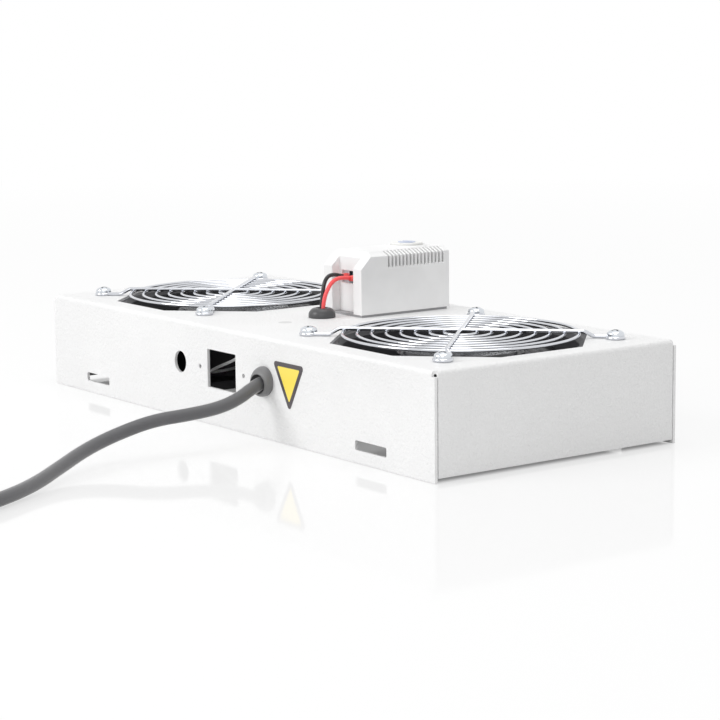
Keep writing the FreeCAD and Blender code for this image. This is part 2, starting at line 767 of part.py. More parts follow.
def blade_solid(root, end):
    """A twisted blade between two radii, from sections whose chord and pitch change evenly."""
    sections = []
    for step in range(BLADE_SPAN_STEPS + 1):
        share = step / BLADE_SPAN_STEPS
        chord = s.blade_root_chord + (s.blade_tip_chord - s.blade_root_chord) * share
        pitch = s.blade_root_pitch + (s.blade_tip_pitch - s.blade_root_pitch) * share
        sections.append(blade_section(root + (end - root) * share, number(chord), number(pitch)))
    faces = [flat_face(sections[0]), flat_face(sections[-1])]
    count = len(sections[0])
    for inner, outer in zip(sections, sections[1:]):
        for index in range(count):
            after = (index + 1) % count
            faces.append(flat_face([inner[index], inner[after], outer[after]]))
            faces.append(flat_face([inner[index], outer[after], outer[index]]))
    shell = Part.makeShell(faces)
    shell.sewShape()
    solid = Part.makeSolid(shell)
    if solid.Volume < 0:
        solid.reverse()
    return solid


def build_impeller(name, side):
    """The impeller: a cup that covers the motor, with its ring of curved blades."""
    hub_radius = number(s.hub_diameter) / 2
    height = number(s.hub_height)
    wall = number(s.hub_wall)
    cup = Part.makeCylinder(hub_radius, height)
    cup = cup.makeChamfer(wall / 2, [edge for edge in cup.Edges
                                     if near(edge.BoundBox.ZMin, height) and near(edge.BoundBox.ZMax, height)])
    cup = cup.cut(Part.makeCylinder(hub_radius - wall, height - wall))
    boss = Part.makeCylinder(number(s.shaft_diameter) * 1.1, wall * 1.8)
    boss.translate(V(0, 0, height - wall * 2))
    cup = cup.fuse(boss)
    shaft_bore = Part.makeCylinder(number(s.shaft_diameter) / 2, height - wall / 3)
    cup = cup.cut(shaft_bore)

    tip = number(s.duct_diameter) / 2 - number(s.blade_gap)
    root = hub_radius - wall / 2
    blade = blade_solid(root, tip + wall)
    blade.translate(V(0, 0, (height - number(s.blade_camber)) / 2))
    limit = Part.makeCylinder(tip, 2 * height, V(0, 0, -height / 2))
    limit = limit.cut(Part.makeCylinder(hub_radius - wall / 4, 2 * height, V(0, 0, -height / 2)))
    blade = blade.common(limit)
    blades = []
    count = int(number(s.blade_count))
    for index in range(count):
        turned_blade = blade.copy()
        turned_blade.rotate(V(0, 0, 0), V(0, 0, 1), 360.0 * index / count)
        blades.append(turned_blade)
    wheel = cup.fuse(blades)
    place_at = V(number(fan_centre(side)), 0, number(fan_bottom + hub_bottom))
    return feature_of("impeller_" + name, wheel, FreeCAD.Placement(place_at, FreeCAD.Rotation()))


cross_level = top + s.cross_rise
ring_level = cross_level - (s.cross_wire + s.ring_wire) / 2 + s.weld_sink
eyelet_level = top + s.eyelet_thickness / 2
screw_radius = s.fan_screw_pitch / math.sqrt(2)


def crossed_wire(turn):
    """One straight wire across a guard, stepped down at both ends to its flattened eyelets."""
    high = number(cross_level)
    low = number(top) + number(s.cross_wire) / 2
    start = number(s.joggle_start)
    end = number(s.joggle_end)
    reach = number(screw_radius) - number(s.eyelet_diameter) / 2 + number(s.weld_sink)
    points = [V(-reach, 0, low), V(-end, 0, low), V(-start, 0, high),
              V(start, 0, high), V(end, 0, low), V(reach, 0, low)]
    wire = tube_shape(points, number(s.cross_wire), 0.25)[0]
    eyelets = []
    for side in (-1, 1):
        eyelet = prism(8, number(s.eyelet_diameter), number(s.eyelet_thickness))
        eyelet = eyelet.cut(prism(THREAD_SIDES, number(s.screw_diameter + 2 * s.screw_clearance),
                                  number(s.eyelet_thickness)))
        eyelet.translate(V(number(screw_radius) * side, 0, number(top)))
        eyelets.append(eyelet)
    wire = wire.fuse(eyelets)
    wire.rotate(V(0, 0, 0), V(0, 0, 1), turn)
    return wire


def build_guard(name, side):
    """A chromed finger guard: eight rings under two crossed wires.

    Each ring is a hoop with as many sides as keep it within a quarter of its wire of round.
    """
    rings = []
    wire = number(s.ring_wire)
    for index in range(int(number(s.ring_count))):
        radius = number(s.ring_first_radius + s.ring_pitch * index)
        quarter_turns = math.ceil(math.pi / math.acos(1 - wire / 4 / radius) / 4)
        sides = 4 * quarter_turns
        ring = prism(sides, 2 * radius + wire, wire).cut(prism(sides, 2 * radius - wire, wire))
        ring.translate(V(0, 0, number(ring_level) - wire / 2))
        rings.append(ring)
    guard = crossed_wire(45).fuse([crossed_wire(135)] + rings)
    place_at = V(number(fan_centre(side)), 0, 0)
    return feature_of("finger_guard_" + name, guard, FreeCAD.Placement(place_at, FreeCAD.Rotation()))


def screw_places(side):
    half = number(s.fan_screw_pitch) / 2
    middle = number(fan_centre(side))
    return [V(middle + half * x, half * y, 0) for x in (-1, 1) for y in (-1, 1)]


def build_screws(name, side):
    """Four pan-head screws through the guard's eyelets, the pan and the fan's top flange."""
    head = number(s.screw_head_height)
    radius = number(s.screw_head_diameter) / 2
    level = number(top + s.eyelet_thickness)
    length = number(s.screw_length)
    rims = [Part.makePolygon(ring_of_points(SCREW_SIDES, radius)),
            Part.makePolygon(ring_of_points(SCREW_SIDES, radius * 0.8))]
    rims[1].translate(V(0, 0, head))
    shank = prism(THREAD_SIDES, number(s.screw_diameter), length)
    shank.translate(V(0, 0, -length))
    form = Part.makeLoft(rims, True, True).fuse(shank)
    screws = []
    for spot in screw_places(side):
        screw = form.copy()
        screw.translate(spot + V(0, 0, level))
        screws.append(screw)
    return feature_of("fan_screws_" + name, Part.makeCompound(screws))


def hexagon_nut():
    nut = prism(6, number(s.nut_across), number(s.nut_height))
    return nut.cut(prism(THREAD_SIDES, number(s.screw_diameter), number(s.nut_height)))


def build_nuts(name, side):
    """The four nuts under the fan's top flange."""
    level = number(underside - s.fan_flange - s.nut_height)
    nuts = []
    for spot in screw_places(side):
        nut = hexagon_nut()
        nut.translate(spot + V(0, 0, level))
        nuts.append(nut)
    return feature_of("fan_nuts_" + name, Part.makeCompound(nuts))


for name, side in SIDES:
    parts.append(build_fan_frame(name, side))
    parts.append(build_stator(name, side))
    parts.append(build_bearings(name, side))
    parts.append(build_shaft(name, side))
    parts.append(build_impeller(name, side))
    parts.append(build_guard(name, side))
    parts.append(build_screws(name, side))
    parts.append(build_nuts(name, side))


# The thermostat

housing_bottom = top + s.base_thickness
housing_top = top + s.thermostat_height
housing_height = s.thermostat_height - s.base_thickness
dial_y = s.thermostat_front + s.dial_back


def build_housing():
    """The thermostat's moulded housing: bevelled, vented, with a terminal recess in front."""
    body = new_body("thermostat_housing")
    block = new_sketch(body, "XY_Plane")
    rectangle(block, s.thermostat_width, s.thermostat_length, 0, s.thermostat_length / 2)
    pad(body, block, housing_height)
    height = number(housing_height)
    half = number(s.thermostat_width) / 2
    front = edges_where(body, lambda a, b: near(a.z, height) and near(b.z, height)
                        and near(a.y, 0) and near(b.y, 0))
    chamfer(body, front, s.front_chamfer)

    # The bevels along the two long edges are cut as wedges.
    wedges = new_sketch(body, "XZ_Plane")
    for side in (-1, 1):
        inner = (s.thermostat_width / 2 - s.edge_chamfer_width) * side
        outer = (s.thermostat_width / 2 + s.edge_chamfer_width) * side
        low = housing_height - 2 * s.edge_chamfer_height
        outline(wedges, [(inner, housing_height), (outer, low), (outer, housing_height + s.housing_wall),
                         (inner, housing_height + s.housing_wall)])
    pocket(body, wedges, 3 * s.thermostat_length, both=True)

    collar = new_sketch(body, "XZ_Plane", -s.dial_back)
    sink = s.edge_chamfer_height
    outline(collar, [(0, housing_height - sink), (s.collar_diameter / 2, housing_height - sink),
                     (s.collar_diameter / 2, housing_height),
                     (s.collar_top_diameter / 2, housing_height + s.collar_height),
                     (0, housing_height + s.collar_height)])
    revolve(body, collar)

    cavity = new_sketch(body, "XY_Plane")
    cavity_length = s.thermostat_length - s.housing_wall - s.cavity_front
    rectangle(cavity, s.thermostat_width - 2 * s.housing_wall, cavity_length,
              0, s.cavity_front + cavity_length / 2)
    pocket(body, cavity, housing_height - s.roof_thickness, up=True)

    recess = new_sketch(body, "XZ_Plane")
    rectangle(recess, s.recess_width, 4 * s.thermostat_height)
    pocket(body, recess, s.recess_depth)
    window = new_sketch(body, "XZ_Plane", -s.recess_depth)
    rectangle(window, s.terminal_window_width, s.terminal_window_height,
              0, s.terminal_rise - s.base_thickness)
    pocket(body, window, s.cavity_front)

    vent = new_sketch(body, "YZ_Plane", s.thermostat_width / 2)
    vent_low = housing_height - s.vent_depth
    vent_high = housing_height + s.housing_wall
    rectangle(vent, s.vent_width, vent_high - vent_low, s.vent_first, (vent_high + vent_low) / 2)
    cut = pocket(body, vent, s.edge_chamfer_width)
    row_pattern(body, [cut], s.vent_count, s.vent_pitch, "Y_Axis")
    vent = new_sketch(body, "YZ_Plane", -s.thermostat_width / 2)
    rectangle(vent, s.vent_width, vent_high - vent_low, s.vent_first, (vent_high + vent_low) / 2)
    cut = pocket(body, vent, s.edge_chamfer_width, up=True)
    row_pattern(body, [cut], s.vent_count, s.vent_pitch, "Y_Axis")

    seat = new_sketch(body, "XY_Plane", housing_height + s.collar_height)
    circle(seat, s.dial_diameter + 2 * s.dial_gap, 0, s.dial_back)
    pocket(body, seat, s.collar_height + s.dial_seat)
    bore = new_sketch(body, "XY_Plane", housing_height + s.collar_height)
    circle(bore, s.spindle_diameter + 2 * s.spindle_gap, 0, s.dial_back)
    pocket(body, bore)
    place(body, 0, s.thermostat_front, housing_bottom)
    return body


def build_base():
    """The thermostat's dark base plate, with two screw bosses."""
    body = new_body("thermostat_base")
    plate = new_sketch(body, "XY_Plane")
    rectangle(plate, s.thermostat_width - 2 * s.base_inset, s.thermostat_length - 2 * s.base_inset,
              0, s.thermostat_length / 2)
    pad(body, plate, s.base_thickness)
    bosses = new_sketch(body, "XY_Plane")
    for back in (s.base_screw_front, s.base_screw_back):
        circle(bosses, s.boss_diameter, 0, back)
    pad(body, bosses, s.base_thickness + s.boss_height)
    holes = new_sketch(body, "XY_Plane")
    for back in (s.base_screw_front, s.base_screw_back):
        circle(holes, s.base_screw_diameter + 2 * s.spindle_gap, 0, back)
    pocket(body, holes, s.base_screw_reach + s.base_thickness, up=True)
    place(body, 0, s.thermostat_front, top)
    return body


def build_base_screws():
    """Two screws from under the pan into the base plate."""
    screws = []
    for back in (s.base_screw_front, s.base_screw_back):
        length = number(s.base_screw_reach + s.sheet_thickness)
        shank = Part.makeCylinder(number(s.base_screw_diameter) / 2, length)
        head = Part.makeCylinder(number(s.base_screw_head) / 2, number(s.base_screw_head_height))
        head.translate(V(0, 0, -number(s.base_screw_head_height)))
        screw = shank.fuse(head)
        screw.translate(V(0, number(s.thermostat_front + back), number(underside)))
        screws.append(screw)
    return feature_of("thermostat_base_screws", Part.makeCompound(screws))


dial_foot = housing_top - s.dial_seat


def build_dial():
    """The setting dial and its spindle, with a seat for the coloured cap."""
    radius = s.dial_diameter / 2
    total = s.dial_seat + s.dial_rise
    cap = s.dial_cap_diameter / 2
    floor = total - s.dial_cap_depth
    points = [(0, -s.spindle_length), (s.spindle_diameter / 2, -s.spindle_length),
              (s.spindle_diameter / 2, 0), (radius, 0), (radius, total - 0.4 * s.dial_cap_depth),
              (radius - 0.4 * s.dial_cap_depth, total), (cap, total), (cap, floor), (0, floor)]
    return turned("thermostat_dial", points, 0, dial_y, dial_foot)


def build_dial_cap():
    """The coloured cap in the dial, slotted for a screwdriver."""
    body = new_body("dial_cap")
    disc = new_sketch(body, "XY_Plane")
    circle(disc, s.dial_cap_diameter)
    height = s.dial_cap_depth + s.dial_cap_rise
    pad(body, disc, height)
    slot = new_sketch(body, "XY_Plane", height)
    rectangle(slot, 2 * s.dial_cap_diameter, s.dial_slot_width)
    pocket(body, slot, s.dial_slot_depth)
    place(body, 0, dial_y, dial_foot + s.dial_seat + s.dial_rise - s.dial_cap_depth)
    return body


clamp_front = s.thermostat_front + s.recess_depth + s.housing_wall / 2
clamp_level = top + s.terminal_rise


def build_clamps():
    """Two brass terminal clamps behind the window of the recess."""
    clamps = []
    width = number(s.terminal_width)
    height = number(s.terminal_window_height)
    depth = number(s.terminal_depth)
    for side in (-1, 1):
        clamp = Part.makeBox(width, depth, height)
        clamp.translate(V(-width / 2, 0, -height / 2))
        bore = Part.makeCylinder(number(s.lead_diameter) / 2 + number(s.bush_fit) / 2, depth / 2,
                                 V(0, 0, 0), V(0, 1, 0))
        clamp = clamp.cut(bore)
        clamp.translate(V(number(s.terminal_pitch) / 2 * side, number(clamp_front), number(clamp_level)))
        clamps.append(clamp)
    return feature_of("thermostat_clamps", Part.makeCompound(clamps))


def build_switch():
    """The snap switch that the bimetal strip works, seated on the base plate."""
    body = new_body("thermostat_switch")
    block = new_sketch(body, "XY_Plane")
    rectangle(block, s.switch_width, s.switch_length)
    pad(body, block, s.switch_height)
    middle = (s.base_screw_front + s.base_screw_back) / 2
    place(body, 0, s.thermostat_front + middle, housing_bottom)
    return body


def build_bimetal():
    """The bimetal strip, from the switch up to just under the dial's spindle."""
    middle = number(s.thermostat_front + (s.base_screw_front + s.base_screw_back) / 2)
    start = middle - number(s.switch_length) / 2
    level = number(housing_bottom + s.switch_height)
    high = number(dial_foot - s.spindle_length) - number(s.bimetal_thickness) - 0.3
    end = number(dial_y) + number(s.spindle_diameter)
    thick = number(s.bimetal_thickness)
    profile = [V(0, start, level), V(0, start + thick * 8, level), V(0, start + thick * 12, high),
               V(0, end, high), V(0, end, high + thick), V(0, start + thick * 11.5, high + thick),
               V(0, start + thick * 7.5, level + thick), V(0, start, level + thick), V(0, start, level)]
    strip = Part.Face(Part.makePolygon(profile)).extrude(V(number(s.bimetal_width), 0, 0))
    strip.translate(V(-number(s.bimetal_width) / 2, 0, 0))
    return feature_of("bimetal_strip", strip)


parts.append(build_base())
parts.append(build_housing())
parts.append(build_dial())
parts.append(build_dial_cap())
parts.append(build_clamps())
parts.append(build_switch())
parts.append(build_bimetal())
parts.append(build_base_screws())


# The rubber bushes

def build_lead_bush():
    """The domed rubber bush that takes the two leads through the pan."""
    outer = s.lead_bush_diameter / 2
    flat = s.lead_bush_top / 2
    bore = s.lead_spacing / 2 + s.lead_diameter / 2 + s.bush_fit
    groove_radius = s.lead_hole / 2 - s.bush_fit
    rise = s.lead_bush_height
    points = [(bore, -s.sheet_thickness - s.lead_bush_inner), (outer, -s.sheet_thickness),
              (groove_radius, -s.sheet_thickness), (groove_radius, 0), (outer, 0),
              (outer, rise * 0.25), (outer * 0.85, rise * 0.72), (flat, rise), (bore, rise)]
    return turned("lead_bush", points, 0, s.lead_bush_back, top)


def build_cord_bush():
    """The domed rubber bush of the mains lead. Its axis lies along Y."""
    body = new_body("cord_bush")
    sketch = new_sketch(body, "XY_Plane")
    flange = s.bush_flange_diameter / 2
    mouth = s.bush_mouth_diameter / 2
    bore = s.cord_diameter / 2 + s.cord_fit
    neck = s.gland_hole / 2 - s.bush_fit
    out = -s.bush_reach
    inner_end = s.sheet_thickness + s.bush_inner_reach
    outline(sketch, [(bore, out), (mouth, out), (flange - s.bush_rim * 0.7, out * 0.55),
                     (flange, -s.bush_rim), (flange, 0), (neck, 0), (neck, s.sheet_thickness),
                     (flange - s.bush_rim * 0.5, s.sheet_thickness), (bore, inner_end)])
    revolve(body, sketch)
    place(body, s.gland_offset, -front_face, s.wall_hole_rise)
    return body


parts.append(build_lead_bush())
parts.append(build_cord_bush())


# The mains lead. Its points follow the photograph to the edge of the picture and then the shelf.
cord_radius = number(s.cord_diameter) / 2
bush_x = number(s.gland_offset)
bush_z = number(s.wall_hole_rise)
cord_join = V(bush_x, -number(front_face) + number(s.sheet_thickness) + 1, bush_z)
coil_radius = (number(s.coil_outer_diameter) - number(s.cord_diameter)) / 2
coil_centre = V(number(s.coil_x), number(s.coil_y), 0)
ROUTE = [
    cord_join,
    V(bush_x, -82.5, bush_z),
    V(43.6, -93, 24.6),
    V(46.2, -105, 20.4),
    V(45.2, -121, 18.3),
    V(42.6, -139, 17.3),
    V(42.4, -159, 13),
    V(48.4, -178, 9.4),
    V(61, -198, 6),
    V(76.5, -219, 3.6),
    V(92, -242, 3.3),
    V(102.5, -265, 3.3),
    coil_centre + V(coil_radius, 12, 3.3),
]
# From the coil's last turn to the plug
TAIL = [
    coil_centre + V(8, -coil_radius + 3.2, 8.4),
    coil_centre + V(-3, -coil_radius + 2.5, 9.2),
    coil_centre + V(-14, -coil_radius + 2.1, 12.3),
    coil_centre + V(-26, -coil_radius + 2.2, 16.9),
    coil_centre + V(-38.2, -coil_radius + 2.6, 18.85),
]


def build_cord(name, points):
    solid, radii, length = tube_shape(points, number(s.cord_diameter), sides=8)
    print(name, "length %.1f" % length, "radii", [round(radius, 1) for radius in radii])
    return feature_of(name, solid)


def build_coil():
    """The outer shape of the coiled part of the mains lead."""
    inner = s.coil_inner_diameter / 2
    outer = s.coil_outer_diameter / 2
    shoulder = s.coil_shoulder
    half = s.coil_height / 2
    points = [(inner, 0), (outer, 0), (outer, half), (outer - shoulder, s.coil_height),
              (inner + shoulder, s.coil_height), (inner, half)]
    return turned("cord_coil", points, s.coil_x, s.coil_y, 0.05)


plug_heading = TAIL[-1] - TAIL[-2]
plug_heading.z = 0
plug_heading.normalize()
plug_turn = FreeCAD.Rotation(V(0, 0, 1), plug_heading)
plug_spot = V(TAIL[-1].x, TAIL[-1].y, number(s.plug_diameter / 2 + s.plug_lift))
plug_placement = FreeCAD.Placement(plug_spot, plug_turn)
plug_length = s.plug_relief_length + s.plug_shoulder_length + s.plug_grip_length


def build_plug():
    """The moulded mains plug with its tapered strain relief, turned around its own axis."""
    body = new_body("plug_body")
    sketch = new_sketch(body, "XZ_Plane")
    relief = s.plug_relief_length
    shoulder = relief + s.plug_shoulder_length
    outline(sketch, [(0, 0), (s.plug_relief_end / 2, 0), (s.plug_neck_diameter / 2, relief),
                     (s.plug_diameter / 2 - s.plug_clip_depth, shoulder - s.plug_clip_width / 2),
                     (s.plug_diameter / 2, shoulder), (s.plug_diameter / 2, plug_length),
                     (0, plug_length)])
    revolve(body, sketch)
    notches = new_sketch(body, "XY_Plane", plug_length)
    for side in (-1, 1):
        rectangle(notches, 2 * s.plug_clip_depth, s.plug_clip_width, s.plug_diameter / 2 * side, 0)
    pocket(body, notches, s.plug_grip_length - s.plug_clip_width)
    body.Placement = plug_placement
    return body


def build_plug_contacts():
    """Two round pins and the two side contacts of the plug."""
    end = number(plug_length)
    pieces = []
    for side in (-1, 1):
        pin = Part.makeCylinder(number(s.plug_pin_diameter) / 2, number(s.plug_pin_length))
        tip = [edge for edge in pin.Edges
               if near(edge.BoundBox.ZMin, s.plug_pin_length) and near(edge.BoundBox.ZMax, s.plug_pin_length)]
        pin = pin.makeChamfer(number(s.plug_pin_diameter) * 0.3, tip)
        pin.translate(V(0, number(s.plug_pin_pitch) / 2 * side, end))
        pieces.append(pin)
        clip_length = number(s.plug_grip_length - s.plug_clip_width)
        clip = Part.makeBox(number(s.plug_clip_depth) * 0.6, number(s.plug_clip_width) - 0.4, clip_length)
        clip.translate(V(-number(s.plug_clip_depth) * 0.3, -number(s.plug_clip_width) / 2 + 0.2,
                         end - clip_length))
        clip.translate(V((number(s.plug_diameter) / 2 - number(s.plug_clip_depth) * 0.65) * side, 0, 0))
        pieces.append(clip)
    return feature_of("plug_contacts", Part.makeCompound(pieces), plug_placement)


parts.append(build_cord("mains_cord", ROUTE))
parts.append(build_coil())
parts.append(build_cord("mains_cord_end", TAIL))
parts.append(build_plug())
parts.append(build_plug_contacts())


# The wiring under the pan

block_top = underside
block_bottom = underside - s.block_height
pole_pitch = s.block_length / s.block_poles
block_level = underside - s.block_height / 2
block_front = s.stud_y - s.block_width / 2
block_back = s.stud_y + s.block_width / 2


def pole_x(index):
    """Middle of a pole of the terminal block along X: poles -1, 0 and 1."""
    return s.stud_x + pole_pitch * (index - 0.5)


def build_block():
    """The terminal block, held by the stud through its middle web."""
    body = new_body("terminal_block")
    block = new_sketch(body, "XY_Plane")
    rectangle(block, s.block_length, s.block_width)
    pad(body, block, s.block_height)
    # The stud passes between the second pole and the third.
    hole = new_sketch(body, "XY_Plane")
    circle(hole, s.stud_diameter + 2 * s.screw_clearance, pole_pitch / 2, 0)
    pocket(body, hole, up=True)
    entries = new_sketch(body, "XZ_Plane")
    for index in (-1, 0, 1):
        circle(entries, s.block_bore, pole_pitch * index, s.block_height / 2)
    pocket(body, entries, 2 * s.block_width, both=True)
    screws = new_sketch(body, "XY_Plane")
    for index in (-1, 0, 1):
        circle(screws, s.block_screw + 2 * s.screw_clearance, pole_pitch * index, 0)
    pocket(body, screws, s.block_height / 2, up=True)
    place(body, pole_x(0), s.stud_y, block_bottom)
    return body


def build_stud():
    """The pressed-in stud: its flush head shows as a faint disc on the pan."""
    shank = prism(THREAD_SIDES, number(s.stud_diameter), number(s.stud_length + s.sheet_thickness))
    shank.translate(V(0, 0, -number(s.stud_length + s.sheet_thickness)))
    head = Part.makeCylinder(number(s.stud_head) / 2, number(s.stud_head_height))
    head.translate(V(0, 0, -number(s.stud_head_height)))
    stud = shank.fuse(head)
    stud.translate(V(number(s.stud_x), number(s.stud_y), number(top)))
    return feature_of("earth_stud", stud)


ring_top = block_bottom
nut_top = block_bottom - s.ring_thickness


def build_stud_nut():
    """The nut that holds the terminal block and the earth tag on the stud."""
    nut = hexagon_nut()
    nut.translate(V(number(s.stud_x), number(s.stud_y), number(nut_top - s.nut_height)))
    return feature_of("earth_nut", nut)


def build_tag():
    """The ring tag crimped to the earth core."""
    tag = prism(SCREW_SIDES, number(s.ring_diameter), number(s.ring_thickness))
    tongue = Part.makeBox(number(s.core_diameter), number(s.tag_length), number(s.ring_thickness))
    tongue.translate(V(-number(s.core_diameter) / 2, -number(s.tag_length), 0))
    tag = tag.fuse(tongue)
    hole = prism(THREAD_SIDES, number(s.stud_diameter + s.screw_clearance), number(s.ring_thickness))
    tag = tag.cut(hole)
    tag.translate(V(number(s.stud_x), number(s.stud_y), number(nut_top)))
    return feature_of("earth_tag", tag)


def build_block_screws():
    """The clamp screws of the terminal block, reached from below."""
    screws = []
    for index in (-1, 0, 1):
        screw = prism(THREAD_SIDES, number(s.block_screw), number(s.block_screw_height))
        level = number(block_bottom) + number(s.block_screw_height) / 2
        screw.translate(V(number(pole_x(index)), number(s.stud_y), level))
        screws.append(screw)
    return feature_of("block_screws", Part.makeCompound(screws))


parts.append(build_block())
parts.append(build_stud())
parts.append(build_stud_nut())
parts.append(build_tag())
parts.append(build_block_screws())


# What the leads join: the wall bush, the poles of the block, the bush in the pan, the clamps.
entry_level = number(block_level)
entry_front = number(block_front)
# Halfway between the terminal block and the front wall, where the leads turn
bend_y = (entry_front - number(front_face - s.sheet_thickness)) / 2
sheath_bend = V(31, bend_y + 3, 33)
sheath_end = V(20, bend_y + 3.5, 38)
sheath_heading = (sheath_end - sheath_bend).normalize()
entry_back = number(block_back)
entry_depth = number(s.block_width) / 4
bush_y = number(s.lead_bush_back)
clamp_y = number(clamp_front)
clamp_z = number(clamp_level)


def front_entry(index):
    """Where a lead ends in a pole from the wall's side, and a point straight before it."""
    x = number(pole_x(index))
    return [V(x, entry_front - entry_depth, entry_level), V(x, entry_front + entry_depth, entry_level)]


def back_entry(index):
    """Where a lead ends in a pole from the back, and a point straight before it."""
    x = number(pole_x(index))
    return [V(x, entry_back + entry_depth, entry_level), V(x, entry_back - entry_depth, entry_level)]


def build_sheath():
    """The mains lead's sheath inside the pan, from the wall to where its cores part."""
    points = [cord_join, V(bush_x, bend_y - 3, bush_z), sheath_bend, sheath_end]
    solid = tube_shape(points, number(s.cord_diameter), sides=8)[0]
    return feature_of("cord_sheath_end", solid)


def build_core(name, angle, points):
    """One core of the mains lead, straight out of the sheath's end and on through its points."""
    turn = FreeCAD.Rotation(V(0, 0, 1), sheath_heading)
    spread = V(number(s.core_spread), 0, 0)
    start = sheath_end + turn.multVec(FreeCAD.Rotation(V(0, 0, 1), angle).multVec(spread))
    solid = tube_shape([start, start + sheath_heading * 6] + points, number(s.core_diameter), 0.4)[0]
    return feature_of(name, solid)


tag_end = V(number(s.stud_x), number(s.stud_y - s.tag_length),
            number(nut_top) + number(s.ring_thickness) / 2)
parts.append(build_sheath())
parts.append(build_core("core_live", 60, front_entry(1)))
parts.append(build_core("core_neutral", 300, [V(4, bend_y + 2.5, 41.5)] + front_entry(0)))
parts.append(build_core("core_earth", 180, [V(9.5, bend_y, 35.5), tag_end - V(0, 7, 0), tag_end]))


def build_lead(name, side, bend_points):
    """One lead from its clamp over to the bush, down through the pan and into its pole."""
    bush_offset = number(s.lead_spacing) / 2 * side
    clamp_x = number(s.terminal_pitch) / 2 * side
    points = [V(clamp_x, clamp_y + 2.5, clamp_z)] + bend_points
    points += [V(bush_offset, bush_y, number(top) + number(s.lead_bush_height) * 2.1),
               V(bush_offset, bush_y, entry_level)]
    pole = 1 if side > 0 else -1
    points += back_entry(pole)
    solid = tube_shape(points, number(s.lead_diameter), 0.38)[0]
    return feature_of(name, solid)


red_bends = [V(4.5, 0, clamp_z), V(3, bush_y + 5.6, clamp_z - 1.3)]
black_bends = [V(-4.5, 0, clamp_z), V(-3.9, bush_y + 4.6, clamp_z + 0.1),
               V(-2, bush_y - 0.2, clamp_z - 3.9)]
parts.append(build_lead("lead_red", 1, red_bends))
parts.append(build_lead("lead_black", -1, black_bends))


def build_ferrules():
    """The coloured collars where the two leads enter their clamps."""
    collars = []
    length = number(s.ferrule_length)
    for side in (-1, 1):
        rims = [Part.makePolygon(ring_of_points(SCREW_SIDES, number(s.ferrule_diameter) / 2)),
                Part.makePolygon(ring_of_points(SCREW_SIDES, number(s.ferrule_flare) / 2))]
        rims[1].translate(V(0, 0, length))
        inner = prism(THREAD_SIDES, number(s.lead_diameter + s.bush_fit), length)
        collar = Part.makeLoft(rims, True, True).cut(inner)
        collar.rotate(V(0, 0, 0), V(1, 0, 0), -90)
        collar.translate(V(number(s.terminal_pitch) / 2 * side, clamp_y - length, clamp_z))
        collars.append(collar)
    return feature_of("lead_ferrules", Part.makeCompound(collars))


parts.append(build_ferrules())


def duct_point(side, angle, height, out=0.05):
    """A point just outside a fan's duct, at an angle from the X axis."""
    reach = number(s.duct_diameter) / 2 + number(s.duct_wall) + out
    turn = math.radians(angle)
    middle = number(fan_centre(side))
    return V(middle + reach * math.cos(turn), reach * math.sin(turn), number(fan_bottom) + height)


def build_fan_lead(name, points):
    """A fan's sheathed lead, from its duct to the terminal block."""
    solid = tube_shape(points, number(s.fan_lead_diameter), 0.42)[0]
    return feature_of("fan_lead_" + name, solid)


left_route = [duct_point(-1, -25, 11.5), duct_point(-1, -25, 11.5, 11), V(-34, bend_y + 14, 21.5),
              V(-29, bend_y + 1, 24.5), V(-13.5, bend_y - 1, 32)]
right_route = [duct_point(1, 180, 11.5), duct_point(1, 180, 11.5, 10), V(16, -7, 25.5), V(3, -15.5, 32)]
parts.append(build_fan_lead("left", left_route + front_entry(-1)))
parts.append(build_fan_lead("right", right_route + back_entry(0)))


def checked(objects):
    """Stops the script on any object that failed, before a file is written."""
    doc.recompute()
    for item in doc.Objects:
        if "Invalid" in item.State or "Error" in item.State:
            raise ValueError("%s is %s" % (item.Label, item.State))
    for item in objects:
        if item.Shape.isNull() or not item.Shape.isValid():
            raise ValueError("%s has no valid shape" % item.Label)
    return objects


os.makedirs("parts", exist_ok=True)
for item in checked(parts):
    item.Shape.exportStep(os.path.join("parts", item.Label + ".step"))
    print(item.Label, "solids", len(item.Shape.Solids), "volume %.1f" % item.Shape.Volume)
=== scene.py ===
# %% [markdown]
# A fan tray for a server cabinet: a folded sheet-steel pan that carries two axial fans under
# chromed wire guards, a small thermostat and a mains lead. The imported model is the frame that
# every piece below is placed by. All lengths are in metres, with X along the tray, Y from the
# front wall to the back and Z up from the shelf.

# %% Load the frame
import json
import math

import bmesh
import bpy
from mathutils import Matrix, Vector

